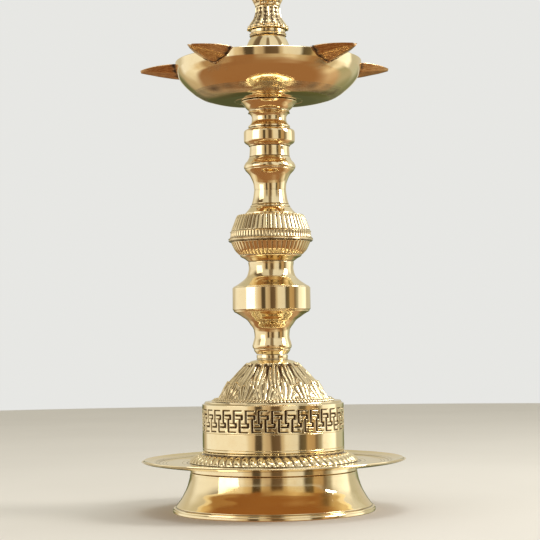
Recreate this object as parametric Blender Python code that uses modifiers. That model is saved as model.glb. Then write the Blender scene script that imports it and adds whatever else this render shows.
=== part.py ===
"""A brass standing oil lamp: a screwed stack of turned pieces that carries a dish with five wick spouts.

Lengths below are millimetres and are turned into metres where the meshes are made. Z is up, the lamp
stands on z = 0, and every turned piece shares the vertical axis through the origin.
"""

import math

import bmesh
import bpy
from mathutils import Matrix

MM = 0.001
GAP = 0.3  # clearance between neighbouring pieces
MERGE_DISTANCE = 0.00001  # metres
ARC_STEP = math.radians(42)  # the most one facet turns along an arc
WIDE_SEGMENTS = 40
STEM_SEGMENTS = 24
ROD_SEGMENTS = 16

# Heights of the seams between the stacked pieces.
SKIRT_TOP = 23.0
COLLAR_TOP = 27.2
TRAY_TOP = 28.5
FLUTES_TOP = 35.1
DRUM_TOP = 63.6
NECK_TOP = 90.4
LOWER_STEM_TOP = 148.4
BELT_BOTTOM = 156.5
BELT_TOP = 162.6
KNOP_TOP = 172.3
UPPER_STEM_TOP = 212.3
NECK_RING_TOP = 223.3
CUP_TOP = 238.9
DISH_BOTTOM = 239.2
DISH_RIM = 262.4
CAP_TOP = 281.1
BELL_TOP = 295.0
BUD_TOP = 326.0
LAMP_TOP = 356.0

# Radii that set the lamp's proportions.
FOOT_RADIUS = 58.8
SKIRT_TOP_RADIUS = 48.6
TRAY_RADIUS = 76.8
DRUM_RADIUS = 41.2
DRUM_BORE = 38.7
DOME_RADIUS = 33.0
BEAD_RING_RADIUS = 36.0
NECK_RADIUS = 9.1
BAND_RADIUS = 22.8
KNOP_BORE = 16.5
BELT_RADIUS = 25.1
CUP_RADIUS = 16.4
DISH_RADIUS = 54.7
CAP_RADIUS = 15.0
BUD_RADIUS = 10.8

# The rods that hold the stack together.
TIE_ROD_RADIUS = 4.0
TIE_ROD_HOLE = TIE_ROD_RADIUS + 2 * GAP
TIE_ROD_TOP = 106.5
STUD_RADIUS = 3.5
STUD_HOLE = STUD_RADIUS + 2 * GAP
STUD_BOTTOM = 108.0
STUD_TOP = 256.0
PIN_RADIUS = 2.0
PIN_HOLE = PIN_RADIUS + GAP
PIN_BOTTOM = 262.0
PIN_TOP = 332.0
BUSH_RADIUS = 6.0
BUSH_POCKET = BUSH_RADIUS + GAP

# The wick spouts.
FIRST_SPOUT = math.radians(90)
SPOUT_ROOT_RADIUS = 49.0
SPOUT_TIP_RADII = (76.6, 79.6, 77.6, 77.4, 76.9)  # hand-fitted, so each differs a little
SPOUT_HALF_WIDTH = 12.4  # at the root, inside the dish's wall
SPOUT_NOSE_HALF_WIDTH = 1.3
SPOUT_KEEL = 254.6
SPOUT_TIP_KEEL = 260.4
SPOUT_TIP_TOP = 261.9
SPOUT_CROWN = 0.7  # how far the top edge rises above a straight line
SPOUT_WALL = 1.4
SPOUT_STATIONS = 6
BILGE_WIDTH = 0.66  # share of the half width at the knee of the section
BILGE_HEIGHT = 0.38  # share of the depth at that knee
CHANNEL_END = 0.88  # share of the spout's length that is hollow

BRASS = ((0.83, 0.62, 0.27), 0.22, 1.0)
INNER_BRASS = ((0.72, 0.53, 0.24), 0.4, 1.0)
SPOUT_BRONZE = ((0.40, 0.22, 0.09), 0.5, 1.0)
LEATHER = ((0.24, 0.13, 0.07), 0.85, 0.0)


def clear_objects():
    """Remove every object already in the file."""
    for existing in list(bpy.data.objects):
        bpy.data.objects.remove(existing, do_unlink=True)


def new_collection(name):
    """Return a new collection linked to the scene."""
    group = bpy.data.collections.new(name)
    bpy.context.scene.collection.children.link(group)
    return group


def metal(name, finish):
    """Return a Principled material from a finish of colour, roughness and metallic value."""
    colour, roughness, metallic = finish
    material = bpy.data.materials.new(name)
    material.use_nodes = True
    shader = material.node_tree.nodes["Principled BSDF"]
    shader.inputs["Base Color"].default_value = (*colour, 1.0)
    shader.inputs["Roughness"].default_value = roughness
    shader.inputs["Metallic"].default_value = metallic
    material.diffuse_color = (*colour, 1.0)
    return material


def place(name, mesh, finish, group, parent):
    """Wrap a mesh in an object whose parent empty sits on its joint's axis."""
    piece = bpy.data.objects.new(name, mesh)
    mesh.materials.append(metal(name, finish))
    group.objects.link(piece)
    piece.parent = parent
    piece.matrix_parent_inverse = Matrix.Translation(-parent.location)
    return piece


def joint_empty(name, height, group, parent=None):
    """Return an empty on the lamp's axis, to which a body's pieces are parented."""
    empty = bpy.data.objects.new(name, None)
    empty.empty_display_size = 20 * MM
    empty.location.z = height * MM
    group.objects.link(empty)
    if parent:
        empty.parent = parent
        empty.matrix_parent_inverse = Matrix.Translation(-parent.location)
    return empty


def arc_points(start, end, bulge):
    """Return the points of an arc after start, up to end.

    bulge is the tangent of a quarter of the arc's angle, and is positive where the arc lies to the
    left of the way from start to end.
    """
    angle = 4 * math.atan(bulge)
    steps = max(1, math.ceil(abs(angle) / ARC_STEP))
    along = ((end[0] - start[0]), (end[1] - start[1]))
    chord = math.hypot(*along)
    radius = chord / (2 * math.sin(angle / 2))
    unit = (along[0] / chord, along[1] / chord)
    points = []
    for step in range(1, steps + 1):
        turned_angle = angle / 2 - angle * step / steps
        forward = chord / 2 - radius * math.sin(turned_angle)
        sideways = radius * (math.cos(turned_angle) - math.cos(angle / 2))
        points.append(
            (
                start[0] + unit[0] * forward - unit[1] * sideways,
                start[1] + unit[1] * forward + unit[0] * sideways,
            )
        )
    return points


def trace(outline):
    """Return an outline's points, with each (radius, height, bulge) entry drawn as an arc."""
    points = [outline[0][:2]]
    for entry in outline[1:]:
        if len(entry) == 3:
            points += arc_points(points[-1], entry[:2], entry[2])
        else:
            points.append(entry)
    return points


def turned_mesh(name, outline):
    """Return a mesh of the outline's edges, which a Screw modifier turns about Z.

    The outline runs down its outer side and back up its inner side. It closes on itself unless both
    ends lie on the axis.
    """
    points = trace(outline)
    mesh = bpy.data.meshes.new(name)
    edges = [(i, i + 1) for i in range(len(points) - 1)]
    if points[0][0] > 0:
        edges.append((len(points) - 1, 0))
    mesh.from_pydata([(r * MM, 0, z * MM) for r, z in points], edges, [])
    return mesh


def add_screw(piece, segments):
    """Turn the piece's outline once round the lamp's axis."""
    screw = piece.modifiers.new("turn", "SCREW")
    screw.axis = "Z"
    screw.angle = math.tau
    screw.steps = segments
    screw.render_steps = segments
    screw.use_merge_vertices = True
    screw.merge_threshold = MERGE_DISTANCE
    screw.use_smooth_shade = True


def turn(name, outline, segments, finish, group, parent):
    """Add a turned piece."""
    piece = place(name, turned_mesh(name, outline), finish, group, parent)
    add_screw(piece, segments)
    return piece


def cylinder_mesh(name, radius, bottom, top, segments):
    """Return a solid upright cylinder or prism on the lamp's axis."""
    shape = bmesh.new()
    middle = Matrix.Translation((0, 0, (bottom + top) / 2 * MM))
    bmesh.ops.create_cone(
        shape,
        cap_ends=True,
        segments=segments,
        radius1=radius * MM,
        radius2=radius * MM,
        depth=(top - bottom) * MM,
        matrix=middle,
    )
    mesh = bpy.data.meshes.new(name)
    shape.to_mesh(mesh)
    shape.free()
    return mesh


def cutter(name, mesh, group):
    """Add a hidden shape that is only subtracted from others."""
    tool = bpy.data.objects.new(name, mesh)
    tool.hide_render = True
    tool.display_type = "WIRE"
    group.objects.link(tool)
    return tool


def cut(piece, tool):
    """Subtract a cutter from a piece."""
    boolean = piece.modifiers.new(tool.name, "BOOLEAN")
    boolean.operation = "DIFFERENCE"
    boolean.solver = "EXACT"
    boolean.object = tool


def hex_nut(name, across_flats, hole, bottom, top, groups, parent):
    """Add a hexagonal nut with a plain hole."""
    parts, cutters = groups
    corner = across_flats / 2 / math.cos(math.pi / 6)
    nut = place(name, cylinder_mesh(name, corner, bottom, top, 6), INNER_BRASS, parts, parent)
    through = cylinder_mesh(name + "_hole", hole, bottom - 1, top + 1, ROD_SEGMENTS)
    cut(nut, cutter(name + "_hole", through, cutters))
    return nut


def rod(name, radius, bottom, top, group, parent):
    """Add a plain round rod."""
    mesh = cylinder_mesh(name, radius, bottom, top, ROD_SEGMENTS)
    return place(name, mesh, INNER_BRASS, group, parent)


def ring(name, bore, radius, bottom, top, segments, finish, group, parent):
    """Add a plain flat ring, washer or bush."""
    outline = [(radius, top), (radius, bottom), (bore, bottom), (bore, top)]
    return turn(name, outline, segments, finish, group, parent)


def build_foot(groups, parent):
    """Add the flared foot, its collar, the drip tray and the fluted ring on it."""
    parts, _ = groups
    skirt_wall = 2.0
    rim_height = 2.6
    rim_bore = FOOT_RADIUS - 2.8
    web = SKIRT_TOP - 2.0
    flare = -0.2
    turn(
        "foot_skirt",
        [
            (SKIRT_TOP_RADIUS, SKIRT_TOP),
            (FOOT_RADIUS - 1.6, rim_height, flare),
            (FOOT_RADIUS, rim_height),
            (FOOT_RADIUS, 0),
            (rim_bore, 0),
            (rim_bore, rim_height - 1),
            (SKIRT_TOP_RADIUS - skirt_wall, web, -flare),
            (TIE_ROD_HOLE, web),
            (TIE_ROD_HOLE, SKIRT_TOP),
        ],
        WIDE_SEGMENTS,
        BRASS,
        parts,
        parent,
    )
    collar = (SKIRT_TOP_RADIUS - 4, SKIRT_TOP_RADIUS, SKIRT_TOP + GAP, COLLAR_TOP)
    ring("foot_collar", *collar, WIDE_SEGMENTS, BRASS, parts, parent)
    tray_bottom = COLLAR_TOP + GAP
    lip_top = 30.4
    turn(
        "drip_tray",
        [
            (TIE_ROD_HOLE, TRAY_TOP),
            (TRAY_RADIUS - 10, TRAY_TOP),
            (TRAY_RADIUS - 1.2, lip_top),
            (TRAY_RADIUS, lip_top),
            (TRAY_RADIUS, lip_top - 1),
            (TRAY_RADIUS - 9, tray_bottom),
            (TIE_ROD_HOLE, tray_bottom),
        ],
        WIDE_SEGMENTS,
        BRASS,
        parts,
        parent,
    )
    flutes_bottom = TRAY_TOP + GAP
    turn(
        "flute_ring",
        [
            (DRUM_RADIUS, FLUTES_TOP),
            (DRUM_RADIUS + 7.9, flutes_bottom, 0.25),
            (DRUM_BORE - 1, flutes_bottom),
            (DRUM_BORE - 1, FLUTES_TOP),
        ],
        WIDE_SEGMENTS,
        BRASS,
        parts,
        parent,
    )


def build_drum(groups, parent):
    """Add the hollow drum, the beaded ring on its shoulder and the hollow dome with its neck."""
    parts, _ = groups
    drum_bottom = FLUTES_TOP + GAP
    shoulder = 2.0
    opening = DOME_RADIUS - 3
    turn(
        "base_drum",
        [
            (DRUM_RADIUS - 1.2, DRUM_TOP),
            (DRUM_RADIUS, DRUM_TOP - 1.2, 0.4),
            (DRUM_RADIUS, drum_bottom),
            (DRUM_BORE, drum_bottom),
            (DRUM_BORE, DRUM_TOP - shoulder),
            (opening, DRUM_TOP - shoulder),
            (opening, DRUM_TOP),
        ],
        WIDE_SEGMENTS,
        BRASS,
        parts,
        parent,
    )
    seat = DRUM_TOP + GAP
    bead_height = 1.6
    beads = (DOME_RADIUS + GAP, BEAD_RING_RADIUS, seat, seat + bead_height)
    ring("bead_ring", *beads, WIDE_SEGMENTS, BRASS, parts, parent)
    wall = 2.0
    crown = (13.2, 86.9)
    knee = (25.0, 75.5)
    turn(
        "base_dome",
        [
            (NECK_RADIUS, NECK_TOP),
            (NECK_RADIUS, crown[1]),
            crown,
            (*knee, 0.02),
            (DOME_RADIUS, seat, 0.08),
            (DOME_RADIUS - wall, seat),
            (knee[0] - wall, knee[1] - wall / 2, -0.08),
            (crown[0] - wall, crown[1] - 1.4 * wall, -0.02),
            (TIE_ROD_HOLE, crown[1] - 1.4 * wall),
            (TIE_ROD_HOLE, NECK_TOP),
        ],
        WIDE_SEGMENTS,
        BRASS,
        parts,
        parent,
    )


def build_tie_rod(groups, parent):
    """Add the rod that clamps the foot to the dome, with its shoulder, washer and nut."""
    parts, _ = groups
    shoulder_radius = 6.5
    shoulder = (NECK_TOP + GAP, NECK_TOP + 2.3)
    rod_bottom = 9.0
    turn(
        "tie_rod",
        [
            (0, TIE_ROD_TOP),
            (TIE_ROD_RADIUS, TIE_ROD_TOP),
            (TIE_ROD_RADIUS, shoulder[1]),
            (shoulder_radius, shoulder[1]),
            (shoulder_radius, shoulder[0]),
            (TIE_ROD_RADIUS, shoulder[0]),
            (TIE_ROD_RADIUS, rod_bottom),
            (0, rod_bottom),
        ],
        ROD_SEGMENTS,
        INNER_BRASS,
        parts,
        parent,
    )
    web = SKIRT_TOP - 2.0
    washer = (TIE_ROD_RADIUS + GAP, 11.0, web - GAP - 1.5, web - GAP)
    ring("clamp_washer", *washer, STEM_SEGMENTS, INNER_BRASS, parts, parent)
    nut_top = washer[2] - GAP
    nut_height = 6.5
    hole = TIE_ROD_RADIUS + GAP
    hex_nut("clamp_nut", 13, hole, nut_top - nut_height, nut_top, groups, parent)


def build_lower_stem(groups, parent):
    """Add the lower stem, hollow above the floor into which the long stud screws."""
    parts, _ = groups
    seat = NECK_TOP + GAP
    recess = (7.0, NECK_TOP + 2.9)
    pocket_top = 107.0
    floor_top = 113.0
    hollow_radius = 17.0
    throat = 10.3
    turn(
        "lower_stem",
        [
            (18.1, LOWER_STEM_TOP),
            (13.3, 142.5, -0.2),
            (14.3, 136.3, -0.15),
            (22.2, 130.2, -0.15),
            (BAND_RADIUS, 129.6),
            (BAND_RADIUS, 116.7),
            (19.3, 114.1),
            (10.3, 102.0, -0.25),
            (11.5, 96.0),
            (10.5, 92.7, 0.2),
            (9.0, seat),
            (recess[0], seat),
            recess,
            (BUSH_POCKET, recess[1]),
            (BUSH_POCKET, pocket_top),
            (STUD_RADIUS + GAP, pocket_top),
            (STUD_RADIUS + GAP, floor_top),
            (throat, floor_top),
            (hollow_radius, 118.0),
            (hollow_radius, 128.0),
            (throat, 137.0),
            (throat, LOWER_STEM_TOP),
        ],
        STEM_SEGMENTS,
        BRASS,
        parts,
        parent,
    )


def build_knop(groups, parent):
    """Add the ball-shaped knop: two hollow halves with a belt between them."""
    parts, _ = groups
    seat = LOWER_STEM_TOP + GAP
    floor = 2.0
    rim = 2.0
    turn(
        "knop_lower",
        [
            (BELT_RADIUS - rim, BELT_BOTTOM - GAP),
            (18.1, seat, 0.15),
            (STUD_HOLE, seat),
            (STUD_HOLE, seat + floor),
            (KNOP_BORE - 2, seat + floor),
            (KNOP_BORE, BELT_BOTTOM - GAP),
        ],
        STEM_SEGMENTS,
        BRASS,
        parts,
        parent,
    )
    belt = (KNOP_BORE + 1, BELT_RADIUS, BELT_BOTTOM, BELT_TOP)
    ring("knop_belt", *belt, STEM_SEGMENTS, BRASS, parts, parent)
    turn(
        "knop_upper",
        [
            (18.1, KNOP_TOP),
            (BELT_RADIUS - rim, BELT_TOP + GAP, 0.15),
            (KNOP_BORE, BELT_TOP + GAP),
            (KNOP_BORE - 3, KNOP_TOP - floor),
            (STUD_HOLE, KNOP_TOP - floor),
            (STUD_HOLE, KNOP_TOP),
        ],
        STEM_SEGMENTS,
        BRASS,
        parts,
        parent,
    )


def build_upper_stem(groups, parent):
    """Add the upper stem, the thick ring on it and the cup that carries the dish."""
    parts, _ = groups
    turn(
        "upper_stem",
        [
            (11.6, UPPER_STEM_TOP),
            (11.9, 206.5),
            (14.9, 201.8, 0.1),
            (14.3, 198.3, 0.25),
            (10.0, 191.5, -0.1),
            (9.9, 183.5, -0.1),
            (11.6, 178.4),
            (15.5, KNOP_TOP + GAP, -0.15),
            (STUD_HOLE, KNOP_TOP + GAP),
            (STUD_HOLE, UPPER_STEM_TOP),
        ],
        STEM_SEGMENTS,
        BRASS,
        parts,
        parent,
    )
    turn(
        "neck_ring",
        [
            (12.3, NECK_RING_TOP),
            (14.9, 221.1, -0.15),
            (14.9, 215.3),
            (12.3, UPPER_STEM_TOP + GAP, -0.1),
            (STUD_HOLE, UPPER_STEM_TOP + GAP),
            (STUD_HOLE, NECK_RING_TOP),
        ],
        STEM_SEGMENTS,
        BRASS,
        parts,
        parent,
    )
    washer_seat = 237.8
    washer_recess = 13.5
    nut_recess = 7.0
    nut_seat = 232.3
    turn(
        "dish_cup",
        [
            (CUP_RADIUS, CUP_TOP),
            (12.3, 232.8, -0.1),
            (10.2, 229.9),
            (10.2, 227.0),
            (12.3, NECK_RING_TOP + GAP, -0.15),
            (STUD_HOLE, NECK_RING_TOP + GAP),
            (STUD_HOLE, nut_seat),
            (nut_recess, nut_seat),
            (nut_recess, washer_seat),
            (washer_recess, washer_seat),
            (washer_recess, CUP_TOP),
        ],
        STEM_SEGMENTS,
        BRASS,
        parts,
        parent,
    )
    washer = (STUD_HOLE, washer_recess - GAP, washer_seat + GAP, CUP_TOP)
    ring("seal_washer", *washer, STEM_SEGMENTS, LEATHER, parts, parent)
    nut = (nut_seat + GAP, washer_seat - GAP)
    hex_nut("stem_nut", 11, STUD_RADIUS + GAP, *nut, groups, parent)
    rod("stem_stud", STUD_RADIUS, STUD_BOTTOM, STUD_TOP, parts, parent)


def dish_outside(offset):
    """Return the dish's outer side from rim to hub, moved outward by offset."""
    return [
        (DISH_RADIUS + offset, DISH_RIM),
        (DISH_RADIUS - 2.3 + offset, 252.7, 0.08),
        (39.2 + offset, 241.3 - offset, 0.12),
        (28.0, DISH_BOTTOM - offset, 0.05),
    ]


def spout_section(share, inset, tip_radius):
    """Return a spout's section at a share of its length, as (distance, across, height) points.

    inset draws the section inward from the outer faces by the wall's thickness.
    """
    distance = SPOUT_ROOT_RADIUS + (tip_radius - SPOUT_ROOT_RADIUS) * share
    taper = (1 - share**1.7) ** 0.85
    half = SPOUT_NOSE_HALF_WIDTH + (SPOUT_HALF_WIDTH - SPOUT_NOSE_HALF_WIDTH) * taper - inset
    keel = SPOUT_KEEL + (SPOUT_TIP_KEEL - SPOUT_KEEL) * share**1.4 + inset
    top = DISH_RIM + (SPOUT_TIP_TOP - DISH_RIM) * share + SPOUT_CROWN * math.sin(math.pi * share)
    knee = keel + (top - keel) * BILGE_HEIGHT
    raised = 4.0 if inset else 0.0
    across = (-half, -half * BILGE_WIDTH, 0.0, half * BILGE_WIDTH, half)
    heights = (top + raised, knee, keel, knee, top + raised)
    return [(distance, y, z) for y, z in zip(across, heights)]


def spout_mesh(name, angle, tip_radius, inset, end):
    """Return a closed loft of the spout's sections from its root to a share of its length."""
    shape = bmesh.new()
    facing = Matrix.Rotation(angle, 4, "Z") @ Matrix.Scale(MM, 4)
    rings = []
    for station in range(SPOUT_STATIONS + 1):
        section = spout_section(end * station / SPOUT_STATIONS, inset, tip_radius)
        rings.append([shape.verts.new(point) for point in section])
    shape.faces.new(rings[0])
    shape.faces.new(reversed(rings[-1]))
    for near, far in zip(rings, rings[1:]):
        for i in range(len(near)):
            j = (i + 1) % len(near)
            shape.faces.new((near[i], far[i], far[j], near[j]))
    bmesh.ops.transform(shape, matrix=facing, verts=shape.verts)
    bmesh.ops.recalc_face_normals(shape, faces=shape.faces)
    mesh = bpy.data.meshes.new(name)
    shape.to_mesh(mesh)
    shape.free()
    return mesh


def build_dish(groups, parent):
    """Add the oil dish and its wick spouts, each opening through a notch in the dish's wall."""
    parts, cutters = groups
    wall = 1.3
    inside = [
        (28.0, DISH_BOTTOM + wall),
        (39.2 - wall, 241.3 + wall, -0.05),
        (DISH_RADIUS - 2.3 - wall, 252.7 + wall / 2, -0.12),
        (DISH_RADIUS - wall, DISH_RIM, -0.08),
    ]
    hub = [(STUD_HOLE, DISH_BOTTOM), (STUD_HOLE, DISH_BOTTOM + wall)]
    outline = dish_outside(0) + hub + inside
    dish = turn("oil_dish", outline, WIDE_SEGMENTS, BRASS, parts, parent)

    bowl_top = DISH_RIM + 8
    bowl_outline = [(0, bowl_top), (DISH_RADIUS + GAP, bowl_top)] + dish_outside(GAP)
    bowl_outline.append((0, DISH_BOTTOM - GAP))
    bowl = cutter("bowl_cutter", turned_mesh("bowl_cutter", bowl_outline), cutters)
    add_screw(bowl, WIDE_SEGMENTS)
    for number, tip_radius in enumerate(SPOUT_TIP_RADII):
        angle = FIRST_SPOUT + math.tau * number / len(SPOUT_TIP_RADII)
        name = f"wick_spout_{number + 1}"
        spout_shape = spout_mesh(name, angle, tip_radius, 0, 1)
        spout = place(name, spout_shape, SPOUT_BRONZE, parts, parent)
        channel_name = f"channel_cutter_{number + 1}"
        channel_mesh = spout_mesh(channel_name, angle, tip_radius, SPOUT_WALL, CHANNEL_END)
        channel = cutter(channel_name, channel_mesh, cutters)
        cut(spout, bowl)
        cut(spout, channel)
        cut(dish, channel)


def build_finial(groups, parent):
    """Add the domed cap, the petal bell, the bud, the spire and the pin that joins them."""
    parts, _ = groups
    seat = DISH_BOTTOM + 1.3 + GAP
    pocket_top = 258.0
    ring_level = 277.9
    turn(
        "finial_cap",
        [
            (10.2, CAP_TOP),
            (10.2, 278.8),
            (11.4, 278.5),
            (11.4, ring_level),
            (10.2, 277.3),
            (CAP_RADIUS, 262.0, 0.22),
            (CAP_RADIUS, seat),
            (BUSH_POCKET, seat),
            (BUSH_POCKET, pocket_top),
            (PIN_HOLE, pocket_top),
            (PIN_HOLE, CAP_TOP),
        ],
        STEM_SEGMENTS,
        BRASS,
        parts,
        parent,
    )
    turn(
        "finial_bell",
        [
            (7.1, BELL_TOP),
            (7.1, 292.0),
            (8.3, 287.8, -0.05),
            (12.3, 283.0, -0.2),
            (12.3, 281.6),
            (10.0, CAP_TOP + GAP),
            (PIN_HOLE, CAP_TOP + GAP),
            (PIN_HOLE, BELL_TOP),
        ],
        STEM_SEGMENTS,
        BRASS,
        parts,
        parent,
    )
    turn(
        "finial_bud",
        [
            (4.4, BUD_TOP),
            (BUD_RADIUS, 307.0, 0.15),
            (7.3, BELL_TOP + GAP, 0.2),
            (PIN_HOLE, BELL_TOP + GAP),
            (PIN_HOLE, BUD_TOP),
        ],
        STEM_SEGMENTS,
        BRASS,
        parts,
        parent,
    )
    bead_radius = 5.6
    turn(
        "finial_tip",
        [
            (0, LAMP_TOP),
            (1.4, LAMP_TOP - 1.5, 0.35),
            (3.4, 332.0, -0.06),
            (bead_radius, 329.3, 0.4),
            (4.2, BUD_TOP + GAP, 0.4),
            (PIN_HOLE, BUD_TOP + GAP),
            (PIN_HOLE, PIN_TOP + GAP),
            (0, PIN_TOP + GAP),
        ],
        ROD_SEGMENTS,
        BRASS,
        parts,
        parent,
    )
    rod("finial_pin", PIN_RADIUS, PIN_BOTTOM, PIN_TOP, parts, parent)


def build_lamp():
    """Build the lamp body by body, each under an empty on its joint's axis."""
    clear_objects()
    groups = (new_collection("standing_oil_lamp"), new_collection("cutters"))
    parts, _ = groups
    base = joint_empty("base", 0, parts)
    stem_thread = joint_empty("stem_thread", NECK_TOP, parts, base)
    stem = joint_empty("stem", NECK_TOP, parts, stem_thread)
    dish = joint_empty("dish", CUP_TOP, parts, stem)
    finial_thread = joint_empty("finial_thread", DISH_BOTTOM, parts, stem)
    finial = joint_empty("finial", DISH_BOTTOM, parts, finial_thread)

    build_foot(groups, base)
    build_drum(groups, base)
    build_tie_rod(groups, base)
    stem_bush = (TIE_ROD_RADIUS + GAP, BUSH_RADIUS, 93.6, 106.4)
    ring("stem_bush", *stem_bush, ROD_SEGMENTS, INNER_BRASS, parts, stem_thread)
    build_lower_stem(groups, stem)
    build_knop(groups, stem)
    build_upper_stem(groups, stem)
    build_dish(groups, dish)
    finial_bush = (STUD_RADIUS + GAP, BUSH_RADIUS, 243.0, 255.5)
    ring("finial_bush", *finial_bush, ROD_SEGMENTS, INNER_BRASS, parts, finial_thread)
    build_finial(groups, finial)


build_lamp()
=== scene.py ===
"""Brass standing oil lamp: its visible pieces, their finishes, the studio and the camera.

Sizes are millimetres in every class and are turned into metres where the meshes are made, but the
camera, the floor's radius and the soft lamps are given in metres. Z is up, the lamp stands on z = 0,
and its turned pieces share the vertical axis through the origin.
"""

import logging
import math
from dataclasses import dataclass, field
from enum import Enum
from typing import Callable, Optional, Sequence, Union

import bmesh
import bpy
import numpy as np
from mathutils import Matrix, Vector


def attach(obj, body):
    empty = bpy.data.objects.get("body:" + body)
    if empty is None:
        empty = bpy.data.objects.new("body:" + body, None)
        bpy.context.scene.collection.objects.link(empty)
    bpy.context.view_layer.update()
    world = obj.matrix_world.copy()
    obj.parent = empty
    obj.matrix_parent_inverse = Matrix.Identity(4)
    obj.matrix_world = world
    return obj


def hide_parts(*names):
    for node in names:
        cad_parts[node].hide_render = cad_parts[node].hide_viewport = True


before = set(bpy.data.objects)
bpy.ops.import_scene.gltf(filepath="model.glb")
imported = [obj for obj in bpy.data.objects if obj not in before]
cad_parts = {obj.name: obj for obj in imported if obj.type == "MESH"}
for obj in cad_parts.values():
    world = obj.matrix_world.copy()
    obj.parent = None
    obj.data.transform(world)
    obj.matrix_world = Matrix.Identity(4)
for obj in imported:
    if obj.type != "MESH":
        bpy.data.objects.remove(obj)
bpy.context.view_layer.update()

MM = 0.001
LOG = logging.getLogger("oil_lamp")

# How many waves a hand's unevenness adds up, the least turn that counts as a sharp corner, the share
# of a line that a corner's arc may take, and how many millimetres a corner's wear, tarnish and
# painted shade reach
WAVES = 7
SHARP = math.radians(16)
ARC_SHARE = 0.42
WEAR_AND_SHADE_REACH = 0.38

Colour = tuple[float, float, float]
Point = tuple[float, float]
Grid = np.ndarray
Pattern = Callable[[Grid, Grid, Grid], tuple[Grid, Grid]]
Source = Union["Value", bpy.types.NodeSocket, float, tuple]


class Body(Enum):
    """The rigid bodies that the pieces ride on."""

    BASE = "base"
    STEM = "stem"
    DISH = "dish"
    FINIAL = "finial"


class Slot(Enum):
    """The record's material slots."""

    POLISHED = "polished_brass"
    INNER = "inner_brass"
    SPOUT = "spout_bronze"
    LEATHER = "washer_leather"


# -------------------------------------------------------------------------------------------------
# Shader tools


class Value:
    """A shader number that takes part in plain arithmetic."""

    def __init__(self, shader: "Shader", socket: bpy.types.NodeSocket) -> None:
        """Keep the socket and the shader that it belongs to."""
        self.shader = shader
        self.socket = socket

    def _with(self, operation: str, first: Source, second: Source = 0.0) -> "Value":
        """Add a Math node.

        Args:
            operation: the Math node's operation.
            first: its first operand.
            second: its second operand.

        Returns:
            The node's result.
        """
        settings = {"operation": operation}
        return self.shader.value("ShaderNodeMath", settings, {0: first, 1: second})

    def __add__(self, other: Source) -> "Value":
        """Return self + other."""
        return self._with("ADD", self, other)

    def __radd__(self, other: Source) -> "Value":
        """Return other + self."""
        return self._with("ADD", other, self)

    def __sub__(self, other: Source) -> "Value":
        """Return self - other."""
        return self._with("SUBTRACT", self, other)

    def __rsub__(self, other: Source) -> "Value":
        """Return other - self."""
        return self._with("SUBTRACT", other, self)

    def __mul__(self, other: Source) -> "Value":
        """Return self * other."""
        return self._with("MULTIPLY", self, other)

    def __rmul__(self, other: Source) -> "Value":
        """Return other * self."""
        return self._with("MULTIPLY", other, self)

    def __truediv__(self, other: Source) -> "Value":
        """Return self / other."""
        return self._with("DIVIDE", self, other)

    def __neg__(self) -> "Value":
        """Return -self."""
        return self._with("MULTIPLY", self, -1.0)

    def __pow__(self, other: Source) -> "Value":
        """Return self to the power of other."""
        return self._with("POWER", self, other)

    def turned_from(self, other: Source) -> "Value":
        """Return the angle whose tangent is self / other."""
        return self._with("ARCTAN2", self, other)

    def between(self, low: float, high: float) -> "Value":
        """Return 0 below low and 1 above high, with a soft passage between.

        Args:
            low: where it is still 0.
            high: where it is 1.

        Returns:
            The number from 0 to 1.
        """
        settings = {"interpolation_type": "SMOOTHSTEP", "clamp": True}
        limits = {"Value": self, "From Min": low, "From Max": high}
        return self.shader.value("ShaderNodeMapRange", settings, limits)

    def held(self) -> "Value":
        """Return self held between 0 and 1."""
        return self.shader.value("ShaderNodeClamp", {}, {"Value": self})


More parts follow.
